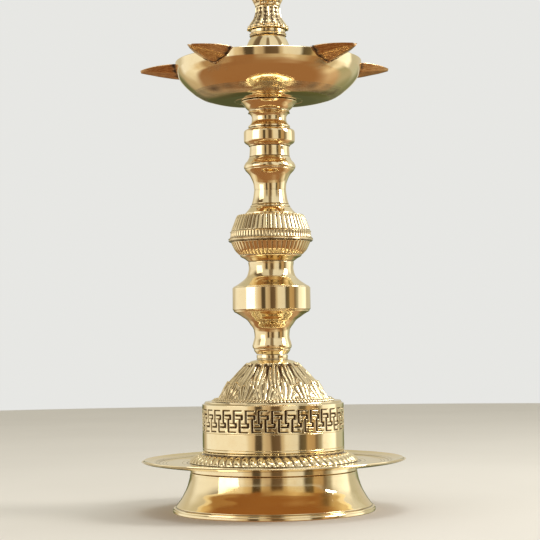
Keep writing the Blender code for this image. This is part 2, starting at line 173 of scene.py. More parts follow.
class Shader:
    """A node tree, with one method that adds any node to it."""

    def __init__(self, tree: bpy.types.NodeTree) -> None:
        """Empty the tree and keep it."""
        self.tree = tree
        tree.nodes.clear()

    def node(self, kind: str, settings: dict, inputs: dict) -> bpy.types.Node:
        """Add a node.

        Args:
            kind: the node's type.
            settings: its properties, with a colour ramp's stops under "stops".
            inputs: a value or a source for each named or numbered input.

        Returns:
            The new node.
        """
        made = self.tree.nodes.new(kind)
        for name, setting in settings.items():
            if name == "stops":
                self._set_stops(made.color_ramp.elements, setting)
            elif name == "interpolation":
                made.color_ramp.interpolation = setting
            else:
                setattr(made, name, setting)
        for name, source in inputs.items():
            source = source.socket if isinstance(source, Value) else source
            if isinstance(source, bpy.types.NodeSocket):
                self.tree.links.new(source, made.inputs[name])
            else:
                made.inputs[name].default_value = source
        return made

    @staticmethod
    def _set_stops(elements: bpy.types.bpy_prop_collection, stops: Sequence) -> None:
        """Give a colour ramp its stops.

        Args:
            elements: the ramp's elements.
            stops: (position, colour) for each stop, in order.
        """
        while len(elements) < len(stops):
            elements.new(1.0)
        for element, (position, colour) in zip(elements, stops):
            element.position = position
            element.color = (*colour, 1.0)

    def value(self, kind: str, settings: dict, inputs: dict, output: Union[int, str] = 0) -> Value:
        """Add a node and return one of its outputs as a number."""
        return Value(self, self.node(kind, settings, inputs).outputs[output])

    def mix(self, share: Source, first: Source, second: Source) -> bpy.types.NodeSocket:
        """Return a colour between two colours.

        Args:
            share: how much of the second there is.
            first: the colour at 0.
            second: the colour at 1.

        Returns:
            The mixed colour's socket.
        """
        first = (*first, 1.0) if isinstance(first, tuple) else first
        second = (*second, 1.0) if isinstance(second, tuple) else second
        settings = {"data_type": "RGBA", "clamp_factor": True}
        return self.node("ShaderNodeMix", settings, {0: share, 6: first, 7: second}).outputs[2]

    def noise(self, place: Source, scale: float, detail: float = 3.0, rough: float = 0.5) -> Value:
        """Return a cloudy noise.

        Args:
            place: where it is read.
            scale: how many clouds there are in one unit of place.
            detail: how many finer layers it has.
            rough: how strong the finer layers are.

        Returns:
            The noise, from 0 to 1.
        """
        settings = {"noise_dimensions": "3D", "normalize": True}
        inputs = {"Vector": place, "Scale": scale, "Detail": detail, "Roughness": rough}
        return self.value("ShaderNodeTexNoise", settings, inputs)

    def joined(self, x: Source, y: Source, z: Source) -> bpy.types.NodeSocket:
        """Return three numbers as one vector."""
        return self.node("ShaderNodeCombineXYZ", {}, {0: x, 1: y, 2: z}).outputs[0]

    def parted(self, vector: Source) -> tuple[Value, Value, Value]:
        """Return a vector's three numbers."""
        outputs = self.node("ShaderNodeSeparateXYZ", {}, {0: vector}).outputs
        return Value(self, outputs[0]), Value(self, outputs[1]), Value(self, outputs[2])

    def millimetres(self) -> bpy.types.NodeSocket:
        """Return the place on the piece, in millimetres.

        Returns:
            The place's socket.
        """
        place = self.node("ShaderNodeTexCoord", {}, {}).outputs["Object"]
        scaled = {0: place, 1: (1 / MM, 1 / MM, 1 / MM)}
        return self.node("ShaderNodeVectorMath", {"operation": "MULTIPLY"}, scaled).outputs[0]

    def attribute(self, name: str, output: str = "Fac") -> bpy.types.NodeSocket:
        """Return a value that the mesh carries at its points."""
        return self.node("ShaderNodeAttribute", {"attribute_name": name}, {}).outputs[output]

    def bump(self, layers: Sequence[tuple[Value, float]]) -> bpy.types.NodeSocket:
        """Stack layers of fine relief.

        Args:
            layers: (height from 0 to 1, depth in millimetres) for each layer.

        Returns:
            The bumped normal.
        """
        total: Source = 0.0
        for height, depth in layers:
            total = height * depth + total
        inputs = {"Height": total, "Strength": 1.0, "Distance": MM}
        return self.node("ShaderNodeBump", {}, inputs).outputs["Normal"]

    def finish(self, surface: dict) -> None:
        """Send a Principled surface to the output.

        Args:
            surface: its inputs.
        """
        principled = self.node("ShaderNodeBsdfPrincipled", {}, surface)
        self.node("ShaderNodeOutputMaterial", {}, {"Surface": principled.outputs[0]})


def new_material(name: str, colour: Colour) -> tuple[bpy.types.Material, Shader]:
    """Make an empty material.

    Args:
        name: its name.
        colour: its colour in a plain viewport.

    Returns:
        The material and its shader.
    """
    material = bpy.data.materials.new(name)
    material.use_nodes = True
    material.diffuse_color = (*colour, 1.0)
    return material, Shader(material.node_tree)


# -------------------------------------------------------------------------------------------------
# Finishes


@dataclass(frozen=True)
class BrassFinish:
    """Turned brass: bright where hands and cloths reach, dark in its crevices with tarnish and
    painted shade.
    """

    name: str = "polished_brass"
    bright: Colour = (0.90, 0.75, 0.46)
    warm: Colour = (0.80, 0.57, 0.29)
    tarnish_and_shade: Colour = (0.075, 0.036, 0.014)
    worn: Colour = (0.96, 0.84, 0.58)
    roughness: float = 0.028
    smudges: float = 0.085
    lathe_marks: float = 0.0022
    dents: float = 0.055
    film: float = 0.45

    def material(self) -> bpy.types.Material:
        """Return the material that this finish describes.

        Returns:
            The material.
        """
        material, shader = new_material(self.name, self.bright)
        place = shader.millimetres()
        x, y, height = shader.parted(place)
        radius = (x * x + y * y) ** 0.5
        round_axis = shader.joined(radius, height, x.turned_from(y) * 0.8)
        relief = Value(shader, shader.attribute("relief"))
        crevice = relief.held()
        crest = (-relief).held()

        cloud = shader.noise(place, 0.055, 4.0, 0.55)
        smudge = shader.noise(place, 0.34, 5.0, 0.62)
        grain = shader.noise(place, 2.6, 3.0, 0.6)
        lines = shader.noise(round_axis, 1.7, 3.0, 0.7)
        dent = shader.noise(place, 0.085, 1.0, 0.4)

        film = (cloud.between(0.42, 0.72) * smudge.between(0.3, 0.75)) * self.film
        colour = shader.mix(film, self.bright, self.warm)
        colour = shader.mix(lines.between(0.55, 0.85) * 0.28, colour, self.warm)
        # Hollows go towards a near-black tone: tarnish, and painted shade in the crevices.
        dirt_and_shade = (crevice * 1.25 + (grain - 0.5) * 0.5 * crevice).held()
        specks = grain.between(0.70, 0.78) * smudge.between(0.5, 0.7) * 0.35
        colour = shader.mix(crest * 0.6, colour, self.worn)
        colour = shader.mix(specks, colour, self.tarnish_and_shade)
        colour = shader.mix(dirt_and_shade, colour, self.tarnish_and_shade)
        rough = smudge.between(0.35, 0.8) * self.smudges + self.roughness
        rough = rough + crevice * 0.32 + lines.between(0.55, 0.9) * 0.035 + crest * 0.05
        layers = [(lines, self.lathe_marks), (dent, self.dents), (grain, 0.0012)]
        surface = {
            "Base Color": colour,
            "Metallic": 1.0 - dirt_and_shade * 0.35,
            "Roughness": rough.held(),
            "Normal": shader.bump(layers),
        }
        shader.finish(surface)
        return material


@dataclass(frozen=True)
class BronzeFinish:
    """Rough dark spout metal, with streaks drawn along its length by file and smoke."""

    name: str = "spout_bronze"
    brown: Colour = (0.45, 0.24, 0.105)
    pale: Colour = (0.88, 0.63, 0.32)
    soot_and_shade: Colour = (0.055, 0.028, 0.014)
    roughness: float = 0.25

    def material(self) -> bpy.types.Material:
        """Return the material that this finish describes.

        Returns:
            The material.
        """
        material, shader = new_material(self.name, self.brown)
        place = shader.millimetres()
        grain = shader.attribute("grain", "Vector")
        relief = Value(shader, shader.attribute("relief"))
        crevice = relief.held()
        crest = (-relief).held()
        along, across, _ = shader.parted(grain)
        drawn = shader.joined(along * 0.22, across * 1.9, 0.0)
        streak = shader.noise(drawn, 1.0, 5.0, 0.65)
        hair = shader.noise(shader.joined(along * 0.5, across * 5.0, 3.0), 1.0, 3.0, 0.6)
        patch = shader.noise(place, 0.16, 4.0, 0.6)
        pits = shader.noise(place, 1.1, 4.0, 0.65)
        colour = shader.mix(streak.between(0.40, 0.70), self.brown, self.pale)
        colour = shader.mix(patch.between(0.52, 0.72) * 0.6, colour, self.brown)
        colour = shader.mix(pits.between(0.60, 0.74) * 0.5, colour, self.soot_and_shade)
        colour = shader.mix(crest * 0.75, colour, self.pale)
        # Crevices go towards the soot colour: soot in the channel, and painted shade at each spout's
        # root.
        colour = shader.mix((crevice * 1.2).held(), colour, self.soot_and_shade)
        rough = hair * 0.16 + pits * 0.12 + self.roughness - 0.1 + crevice * 0.35 - crest * 0.08
        layers = [(streak, 0.10), (hair, 0.02), (pits, 0.05)]
        surface = {
            "Base Color": colour,
            "Metallic": 1.0 - crevice * 0.5,
            "Roughness": rough.held(),
            "Normal": shader.bump(layers),
        }
        shader.finish(surface)
        return material


@dataclass(frozen=True)
class LeatherFinish:
    """Oil-dark washer leather."""

    name: str = "washer_leather"
    hide: Colour = (0.12, 0.055, 0.025)
    fold: Colour = (0.035, 0.018, 0.010)
    roughness: float = 0.62

    def material(self) -> bpy.types.Material:
        """Return the material that this finish describes.

        Returns:
            The material.
        """
        material, shader = new_material(self.name, self.hide)
        place = shader.millimetres()
        settings = {"feature": "DISTANCE_TO_EDGE"}
        cells = shader.value("ShaderNodeTexVoronoi", settings, {"Vector": place, "Scale": 1.8})
        fold = cells.between(0.0, 0.22)
        patch = shader.noise(place, 0.4, 4.0)
        colour = shader.mix(fold, self.fold, self.hide)
        colour = shader.mix(patch.between(0.4, 0.8) * 0.5, colour, self.fold)
        surface = {
            "Base Color": colour,
            "Roughness": patch * 0.2 + self.roughness,
            "Normal": shader.bump([(fold, 0.06), (patch, 0.08)]),
        }
        shader.finish(surface)
        return material


class Finishes:
    """The lamp's finishes, each made once."""

    def __init__(self) -> None:
        """Make every material."""
        dull = {"bright": (0.72, 0.56, 0.29), "warm": (0.55, 0.36, 0.16), "roughness": 0.26}
        inner = BrassFinish("inner_brass", **dull, lathe_marks=0.012, dents=0.02, film=0.8)
        self.by_slot = {
            Slot.POLISHED: BrassFinish().material(),
            Slot.INNER: inner.material(),
            Slot.SPOUT: BronzeFinish().material(),
            Slot.LEATHER: LeatherFinish().material(),
        }

    def dress(self, piece: bpy.types.Object, slot: Slot) -> None:
        """Give a piece the finish of its slot.

        Args:
            piece: the piece.
            slot: its material slot.
        """
        piece.data.materials.clear()
        piece.data.materials.append(self.by_slot[slot])

    def dress_node(self, node: str, slot: Slot) -> None:
        """Give a CAD node that stays in view the finish of its slot.

        Args:
            node: the node's name.
            slot: its material slot.
        """
        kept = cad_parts[node]
        for holder in kept.material_slots:
            holder.material = self.by_slot[slot]
        LOG.info("%s keeps its shape and gets %s", node, slot.value)


# -------------------------------------------------------------------------------------------------
# Patterns and outlines


def ease(low: float, high: float, x: Grid) -> Grid:
    """Return 0 below low and 1 above high, with a soft passage between."""
    share = np.clip((x - low) / (high - low), 0.0, 1.0)
    return share * share * (3 - 2 * share)


def hand_waves(seed: int, x: Grid, y: Grid, wavelength: float) -> Grid:
    """Return soft uneven waves, as a hand leaves them.

    Args:
        seed: which waves.
        x: first coordinate in millimetres.
        y: second coordinate in millimetres.
        wavelength: the waves' rough length in millimetres.

    Returns:
        Waves of about unit height.
    """
    chance = np.random.default_rng(seed)
    total = np.zeros(np.broadcast(x, y).shape)
    for _ in range(WAVES):
        bearing = chance.uniform(0, math.tau)
        pitch = math.tau / (wavelength * chance.uniform(0.6, 1.7))
        phase = chance.uniform(0, math.tau)
        total += np.sin((x * math.cos(bearing) + y * math.sin(bearing)) * pitch + phase)
    return total / (WAVES / 2)


def lobes(theta: Grid, count: int, shift: Union[float, Grid] = 0.0) -> tuple[Grid, Grid]:
    """Divide the turn into equal parts.

    Args:
        theta: the bearing in radians.
        count: how many parts there are.
        shift: how far they are moved on, in parts.

    Returns:
        The place in each part from -1 to 1, and its distance from the middle from 0 to 1.
    """
    share = np.mod(theta * count / math.tau + shift, 1.0) * 2 - 1
    return share, np.abs(share)


def plain(theta: Grid, r: Grid, z: Grid) -> tuple[Grid, Grid]:
    """A spun surface's slight unevenness."""
    waves = hand_waves(5, r * np.cos(theta), r * np.sin(theta) + z * 0.7, 22.0) * 0.02
    return waves, np.zeros_like(waves)


class Outline:
    """A turned piece's half section, from the top of its outer side down and back up its bore."""

    def __init__(self, r: float, z: float) -> None:
        """Start the outline."""
        self.points: list[Point] = [(r, z)]

    def line(self, *points: Point) -> "Outline":
        """Go straight to each point in turn."""
        self.points += points
        return self

    def arc(self, r: float, z: float, bulge: float) -> "Outline":
        """Draw an arc.

        Args:
            r: the radius where it ends.
            z: the height where it ends.
            bulge: the tangent of a quarter of its angle, positive to the left of the way.

        Returns:
            The outline.
        """
        start = np.array(self.points[-1])
        along = np.array((r, z)) - start
        side = np.array((-along[1], along[0]))
        angle = 4 * math.atan(bulge)
        steps = max(3, math.ceil(abs(angle) / math.radians(7)))
        for step in range(1, steps + 1):
            half = angle / 2 - angle * step / steps
            forward = 0.5 - math.sin(half) / (2 * math.sin(angle / 2))
            sideways = (math.cos(half) - math.cos(angle / 2)) / (2 * math.sin(angle / 2))
            self.points.append(tuple(start + along * forward + side * sideways))
        return self

    def curve(self, *points: Point) -> "Outline":
        """Draw a smooth curve through points.

        Args:
            points: the points that it passes through.

        Returns:
            The outline.
        """
        knots = [np.array(self.points[-1])] + [np.array(p, float) for p in points]
        knots = [2 * knots[0] - knots[1]] + knots + [2 * knots[-1] - knots[-2]]
        for before, start, end, after in zip(knots, knots[1:], knots[2:], knots[3:]):
            steps = max(3, math.ceil(np.linalg.norm(end - start) / 0.9))
            for step in range(1, steps + 1):
                t = step / steps
                bend = (2 * before - 5 * start + 4 * end - after) * t * t
                bend += (3 * start - before - 3 * end + after) * t**3
                self.points.append(tuple(start + ((end - before) * t + bend) / 2))
        return self

    def section(self, fillet: float, coarse: float, fine: Sequence, closed: bool) -> Grid:
        """Return the finished section.

        Args:
            fillet: the radius that breaks each sharp corner.
            coarse: the longest step where there is no pattern.
            fine: (lowest z, highest z, lowest r, step) for each patterned stretch.
            closed: whether the outline comes back to its start.

        Returns:
            The section's points, one row each.
        """
        points = self._softened(fillet, closed)
        rows = [points[0]]
        last = len(points) if closed else len(points) - 1
        for i in range(last):
            start, end = points[i], points[(i + 1) % len(points)]
            middle = (start + end) / 2
            step = coarse
            for low, high, inner, small in fine:
                if low <= middle[1] <= high and middle[0] >= inner:
                    step = min(step, small)
            parts = max(1, math.ceil(np.linalg.norm(end - start) / step - 1e-6))
            rows += [start + (end - start) * j / parts for j in range(1, parts + 1)]
        return np.array(rows[:-1] if closed else rows)

    def _softened(self, fillet: float, closed: bool) -> list[Grid]:
        """Return the points with every sharp corner turned into a small arc.

        Args:
            fillet: the arcs' radius.
            closed: whether the outline comes back to its start.

        Returns:
            The outline's points.
        """
        raw = [np.array(p, float) for p in self.points]
        raw = [p for i, p in enumerate(raw) if i == 0 or np.linalg.norm(p - raw[i - 1]) > 1e-4]
        count = len(raw)
        soft = []
        for i, corner in enumerate(raw):
            if not closed and i in (0, count - 1):
                soft.append(corner)
                continue
            back = raw[i - 1] - corner
            ahead = raw[(i + 1) % count] - corner
            near, far = np.linalg.norm(back), np.linalg.norm(ahead)
            turn = math.pi - math.acos(np.clip(back @ ahead / (near * far), -1, 1))
            if turn < SHARP:
                soft.append(corner)
                continue
            room = min(fillet * math.tan(turn / 2), ARC_SHARE * near, ARC_SHARE * far)
            start, end = corner + back / near * room, corner + ahead / far * room
            if near * ARC_SHARE > room + 0.1:
                soft.append(start + back / near * 0.09)
            for t in (0.0, 0.33, 0.67, 1.0):
                soft.append(start * (1 - t) ** 2 + corner * 2 * t * (1 - t) + end * t * t)
            if far * ARC_SHARE > room + 0.1:
                soft.append(end + ahead / far * 0.09)
        return soft


def wear_and_shade_of(section: Grid, closed: bool) -> Grid:
    """Find how hollow or how proud each row of a section is: hollows get tarnish and painted shade,
    proud edges get wear.

    Args:
        section: the section's points.
        closed: whether it comes back to its start.

    Returns:
        Up to 1 in a hollow corner and down to -1 on a proud edge, one value for each row.
    """
    ahead = np.roll(section, -1, axis=0) - section
    back = section - np.roll(section, 1, axis=0)
    cross = back[:, 0] * ahead[:, 1] - back[:, 1] * ahead[:, 0]
    turn = np.arctan2(cross, (back * ahead).sum(axis=1))
    if not closed:
        turn[0] = turn[-1] = 0.0
    gaps = np.linalg.norm(section[:, None, :] - section[None, :, :], axis=2)
    near = np.exp(-((gaps / WEAR_AND_SHADE_REACH) ** 2))
    return np.clip((near * turn[None, :]).sum(axis=1) * 0.55, -1, 1)


def grid_mesh(name: str, places: Grid, loop_rows: bool, loop_columns: bool) -> bpy.types.Mesh:
    """Make a mesh of four-sided faces from a grid of places.

    Args:
        name: the mesh's name.
        places: the grid, rows by columns by three, in millimetres.
        loop_rows: whether the last row joins the first.
        loop_columns: whether the last column joins the first.

    Returns:
        The mesh.
    """
    rows, columns = places.shape[:2]
    i = np.arange(rows if loop_rows else rows - 1)[:, None]
    j = np.arange(columns if loop_columns else columns - 1)[None, :]
    below, beside = (i + 1) % rows, (j + 1) % columns
    corners = (i * columns + j, below * columns + j, below * columns + beside, i * columns + beside)
    faces = np.stack(corners, axis=-1).reshape(-1, 4)
    mesh = bpy.data.meshes.new(name)
    mesh.vertices.add(rows * columns)
    mesh.vertices.foreach_set("co", (places * MM).astype(np.float32).ravel())
    mesh.loops.add(faces.size)
    mesh.loops.foreach_set("vertex_index", faces.astype(np.int32).ravel())
    mesh.polygons.add(len(faces))
    mesh.polygons.foreach_set("loop_start", np.arange(0, faces.size, 4, dtype=np.int32))
    mesh.update(calc_edges=True)
    mesh.shade_smooth()
    return mesh


def set_attribute(mesh: bpy.types.Mesh, name: str, values: Grid) -> None:
    """Give a mesh's points a number or a vector each.

    Args:
        mesh: the mesh.
        name: the attribute's name.
        values: one row for each point.
    """
    vector = values.ndim == 2
    kind, key = ("FLOAT_VECTOR", "vector") if vector else ("FLOAT", "value")
    attribute = mesh.attributes.new(name, kind, "POINT")
    attribute.data.foreach_set(key, values.astype(np.float32).ravel())


def close_seams(mesh: bpy.types.Mesh) -> None:
    """Join a mesh's points that lie in the same place and face it outward.

    Args:
        mesh: the mesh.
    """
    shape = bmesh.new()
    shape.from_mesh(mesh)
    bmesh.ops.remove_doubles(shape, verts=shape.verts, dist=0.004 * MM)
    bmesh.ops.dissolve_degenerate(shape, edges=shape.edges, dist=0.001 * MM)
    bmesh.ops.recalc_face_normals(shape, faces=shape.faces)
    shape.to_mesh(mesh)
    shape.free()


@dataclass
class Turning:
    """One turned piece that stands for a CAD node."""

    node: str
    body: Body
    outline: Outline
    slot: Slot = Slot.POLISHED
    columns: int = 200
    pattern: Pattern = plain
    fine: Sequence[tuple[float, float, float, float]] = ()
    fillet: float = 0.28
    coarse: float = 2.2
    solid: bool = False

    def build(self, finishes: Finishes) -> bpy.types.Object:
        """Make the piece, dress it and tie it to its body.

        Args:
            finishes: the lamp's finishes.

        Returns:
            The piece.
        """
        closed = not self.solid
        section = self.outline.section(self.fillet, self.coarse, self.fine, closed)
        theta = np.linspace(0, math.tau, self.columns, endpoint=False)[None, :]
        along = np.roll(section, -1, axis=0) - np.roll(section, 1, axis=0)
        if self.solid:
            along[0], along[-1] = section[1] - section[0], section[-1] - section[-2]
        along /= np.maximum(np.linalg.norm(along, axis=1, keepdims=True), 1e-9)
        r, z = section[:, :1], section[:, 1:]
        height, dirt_and_shade = self.pattern(theta, r, z)
        height = np.where(r < 0.05, 0.0, height)
        radii = r - along[:, 1:] * height
        levels = z + along[:, :1] * height
        places = np.stack((radii * np.cos(theta), radii * np.sin(theta), levels), axis=-1)
        mesh = grid_mesh(self.node + "_turned", places, closed, True)
        # The relief carries the section's wear and the tarnish and painted shade in its hollows.
        relief = np.clip(wear_and_shade_of(section, closed)[:, None] + dirt_and_shade, -1, 1)
        set_attribute(mesh, "relief", relief.ravel())
        if self.solid:
            close_seams(mesh)
        return fit(mesh, self.node, self.body, self.slot, finishes)


def fit(
    mesh: bpy.types.Mesh, node: str, body: Body, slot: Slot, finishes: Finishes
) -> bpy.types.Object:
    """Put a finished mesh in the scene in place of its CAD node.

    Args:
        mesh: the mesh.
        node: the CAD node that it stands for.
        body: the body that it rides on.
        slot: its material slot.
        finishes: the lamp's finishes.

    Returns:
        The piece.
    """
    piece = bpy.data.objects.new(mesh.name, mesh)
    bpy.context.scene.collection.objects.link(piece)
    finishes.dress(piece, slot)
    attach(piece, body.value)
    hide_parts(node)
    LOG.info("%s: %d faces on %s", piece.name, len(mesh.polygons), body.value)
    return piece


# -------------------------------------------------------------------------------------------------
# The base


@dataclass
class Foot:
    """The flared foot, its collar and the drip tray."""

    radius: float = 58.8
    top: float = 23.0
    top_radius: float = 48.6
    bore: float = 4.6
    collar_top: float = 27.2
    tray_radius: float = 76.8
    tray_under: float = 27.5
    tray_top: float = 28.5
    lip_top: float = 30.4

    def skirt(self) -> Outline:
        """Return the foot's outline.

        Returns:
            The outline.
        """
        flare = Outline(self.top_radius, self.top)
        flare.line((self.top_radius, 22.2))
        flare.curve((49.4, 18.1), (50.9, 13.5), (52.7, 9.9), (54.4, 7.0), (56.2, 4.5), (57.0, 3.5))
        flare.line((56.9, 3.05), (57.9, 2.7), (58.4, 2.6))
        flare.arc(self.radius, 1.5, -0.2)
        flare.line((self.radius, 0.3), (self.radius - 0.5, 0.0), (56.0, 0.0), (56.0, 1.6))
        flare.curve((54.2, 4.8), (51.0, 9.4), (48.6, 14.0), (47.0, 18.6), (46.6, 21.0))
        flare.line((self.bore, 21.0), (self.bore, self.top))
        return flare

    def collar(self) -> Outline:
        """Return the collar's outline, with a fine line cut near its upper edge.

        Returns:
            The outline.
        """
        r, low, high = self.top_radius, self.top + 0.3, self.collar_top
        band = Outline(r - 0.3, high)
        band.line((r, high - 0.3), (r, high - 0.75), (r - 0.22, high - 0.9), (r, high - 1.05))
        band.line((r, low + 0.3), (r - 0.3, low), (r - 4, low), (r - 4, high))
        return band

    def tray(self) -> Outline:
        """Return the tray's outline, with its engraved rings and rolled lip.

        Returns:
            The outline.
        """
        top = self.tray_top
        dish = Outline(self.bore, top).line((49.8, top), (50.4, top - 0.25), (51.0, top))
        for ring in (53.2, 62.6, 64.4):
            dish.line((ring - 0.35, top), (ring, top - 0.28), (ring + 0.35, top))
        dish.line((66.6, top), (67.2, top + 0.34), (68.2, top + 0.42))
        dish.curve((71.6, top + 1.0), (74.0, self.lip_top - 0.25), (75.2, self.lip_top))
        dish.arc(self.tray_radius, self.lip_top - 0.9, -0.55)
        dish.line((76.2, 29.2)).curve((73.0, 28.3), (69.4, 27.75), (67.8, self.tray_under))
        dish.line((self.bore, self.tray_under))
        return dish

    def tray_wear_and_shade(self, theta: Grid, r: Grid, z: Grid) -> tuple[Grid, Grid]:
        """Old oil and painted shade darken the tray where the fluted ring stands and inside the lip.

        Args:
            theta: the bearing in radians.
            r: the radius.
            z: the height.

        Returns:
            How far the surface stands out and how dark it is.
        """
        waves = hand_waves(9, r * np.cos(theta), r * np.sin(theta), 26.0)
        near_ring = 1 - ease(49.4, 53.0, r)
        under_lip = ease(66.0, 67.4, r) * (1 - ease(67.6, 70.5, r))
        # Darker next to the ring's foot and inside the lip: old oil and painted shade in these
        # corners.
        dirt_and_shade = (near_ring * 0.55 + under_lip * 0.5) * (0.7 + 0.3 * waves) * (z > 28.0)
        return waves * 0.045 * ease(40.0, 60.0, r), dirt_and_shade

    def build(self, finishes: Finishes) -> None:
        """Make the foot, the collar and the tray.

        Args:
            finishes: the lamp's finishes.
        """
        Turning("foot_skirt", Body.BASE, self.skirt(), columns=240).build(finishes)
        Turning("foot_collar", Body.BASE, self.collar(), columns=240).build(finishes)
        tray = Turning("drip_tray", Body.BASE, self.tray(), columns=300, pattern=self.tray_wear_and_shade)
        tray.fillet = 0.18
        tray.build(finishes)


@dataclass
class FluteRing:
    """The gadrooned ring that joins the tray to the drum."""

    bottom: float = 28.8
    top: float = 35.1
    foot_radius: float = 49.1
    bore: float = 37.7
    flutes: int = 60
    flute_columns: int = 14
    slant: float = 0.55
    depth: float = 1.35

    def outline(self) -> Outline:
        """Return the ring's outline.

        Returns:
            The outline.
        """
        ring = Outline(41.3, self.top).arc(41.6, 34.0, -0.45).line((41.9, 33.9))
        ring.curve((44.6, 33.0), (47.0, 31.6), (48.6, 30.0), (self.foot_radius, self.bottom))
        ring.line((self.bore, self.bottom), (self.bore, self.top))
        return ring

    def gadroons(self, theta: Grid, r: Grid, z: Grid) -> tuple[Grid, Grid]:
        """Slanted round lobes that end in rounded tips below the ring's upper bead.

        Args:
            theta: the bearing in radians.
            r: the radius.
            z: the height.

        Returns:
            How far the surface stands out and how dark it is.
        """
        up = (z - self.bottom) / (self.top - self.bottom)
        _, away = lobes(theta, self.flutes, self.slant * up)
        outer = (r > self.bore + 1.5) & (z > self.bottom + 0.02)
        tip = 0.78 - 0.17 * away**2.6
        inside = 1 - ease(-0.03, 0.03, up - tip)
        below_bead = 1 - ease(0.84, 0.88, up)
        lobe = np.maximum(0.0, 1 - (away * 0.99) ** 3.0) ** 0.6
        sunk = inside * (lobe - 1) + (1 - inside) * -0.6
        ends = ease(0.0, 0.06, up)
        height = np.where(outer, self.depth * sunk * below_bead * ends, 0.0)
        # Valleys between lobes, and the band above their tips, are painted dark: painted shade for
        # the shadow line beside each lobe, with tarnish.
        valley = inside * (1 - lobe) ** 1.2 * 1.2 + (1 - inside) * (0.15 + 0.4 * away**2)
        return height, np.where(outer, valley * below_bead, 0.0)

    def build(self, finishes: Finishes) -> None:
        """Make the fluted ring.

        Args:
            finishes: the lamp's finishes.
        """
        ring = Turning("flute_ring", Body.BASE, self.outline(), pattern=self.gadroons)
        ring.columns = self.flutes * self.flute_columns
        ring.fine = ((self.bottom, self.top, self.bore + 1.5, 0.26),)
        ring.build(finishes)


@dataclass
class Drum:
    """The drum and the key fret that is carved round it."""

    bottom: float = 35.4
    top: float = 63.6
    radius: float = 41.2
    bore: float = 38.7
    keys: int = 34
    key_columns: int = 32
    first_key: float = math.radians(-114.2)
    fret_bottom: float = 47.4
    fret_top: float = 59.5
    depth: float = 0.95

    def outline(self) -> Outline:
        """Return the drum's outline, with two lines cut below the fret.

        Returns:
            The outline.
        """
        r = self.radius
        wall = Outline(39.6, self.top).arc(r, self.top - 1.5, -0.35)
        wall.line((r, 46.3), (r - 0.15, 46.15), (r, 46.0))
        wall.line((r, 37.1), (r - 0.2, 36.9), (r, 36.7))
        wall.line((r, self.bottom + 0.3), (r - 0.3, self.bottom))
        wall.line((self.bore, self.bottom), (self.bore, 61.6), (30.0, 61.6), (30.0, self.top))
        return wall

    def fret(self, theta: Grid, r: Grid, z: Grid) -> tuple[Grid, Grid]:
        """Two rows of keys: each groove runs in from the band's edge and hooks back under itself.

        Args:
            theta: the bearing in radians.
            r: the radius.
            z: the height.

        Returns:
            How far the surface stands out and how dark it is.
        """
        pitch = math.tau * self.radius / self.keys
        band = (r > self.radius - 0.6) & (z > self.fret_bottom - 0.4) & (z < self.fret_top + 0.4)
        depth = np.zeros(np.broadcast(theta, z).shape)
        drift = hand_waves(3, theta * self.radius, z, 30.0) * 0.12
        wobble = hand_waves(4, theta * self.radius, z, 11.0) * 0.10
        for shift, fall in ((0.0, self.fret_top - z), (0.5, z - self.fret_bottom)):
            turn = (theta - self.first_key) * self.keys / math.tau - shift
            across = (np.mod(turn + 0.5, 1.0) - 0.5) * pitch + drift
            beyond = np.mod(turn + 0.25, 1.0) * pitch - 0.25 * pitch + drift
            level = fall + wobble
            stroke = self._cut(across, level - 3.55, 0.58, 3.75)
            jog = self._cut(across - 1.35, level - 8.1, 0.62, 1.2)
            foot = self._cut(across + 0.45, level - 9.35, 2.35, 0.36) * 0.9
            seam = self._cut(across - 0.75, level - 7.35, 0.85, 0.20) * 0.8
            brow = self._cut(beyond - 2.6, level - 0.05, 2.5, 0.24) * 0.75
            under = self._cut(beyond - 2.9, level - 4.75, 1.7, 0.17) * 0.5
            depth = np.maximum.reduce((depth, stroke, jog, foot, seam, brow, under))
        pillow = 0.07 * hand_waves(17, theta * self.radius, z, 5.0)
        inside = ease(-0.1, 0.3, self.fret_top - z) * ease(-0.1, 0.3, z - self.fret_bottom)
        height = np.where(band, -self.depth * depth + pillow * (1 - depth) * inside, 0.0)
        # Grooves are painted near-black with tarnish and painted shade; their rims a little
        # brighter.
        rim = np.clip(depth * (1 - depth) * 4, 0, 1)
        dirt_and_shade = np.where(band, depth**0.6 * 1.45 - rim * 0.15, 0.0)
        waves, _ = plain(theta, r, z)
        return height + waves, dirt_and_shade

    @staticmethod
    def _cut(x: Grid, y: Grid, half_width: float, half_height: float) -> Grid:
        """Return how deep a round-cornered cut is, from 0 outside it to 1 on its floor.

        Args:
            x: the place along the cut from its middle.
            y: the place up the cut from its middle.
            half_width: half the cut's width.
            half_height: half its height.

        Returns:
            The depth.
        """
        corner = min(half_width, half_height) * 0.8
        beyond_x = np.abs(x) - half_width + corner
        beyond_y = np.abs(y) - half_height + corner
        outside = np.hypot(np.maximum(beyond_x, 0), np.maximum(beyond_y, 0))
        distance = outside + np.minimum(np.maximum(beyond_x, beyond_y), 0) - corner
        return 1 - ease(-0.16, 0.14, distance)

    def build(self, finishes: Finishes) -> None:
        """Make the drum.

        Args:
            finishes: the lamp's finishes.
        """
        drum = Turning("base_drum", Body.BASE, self.outline(), pattern=self.fret)
        drum.columns = self.keys * self.key_columns
        drum.fine = ((self.fret_bottom - 0.5, self.fret_top + 0.5, self.radius - 0.6, 0.24),)
        drum.coarse = 4.0
        drum.build(finishes)


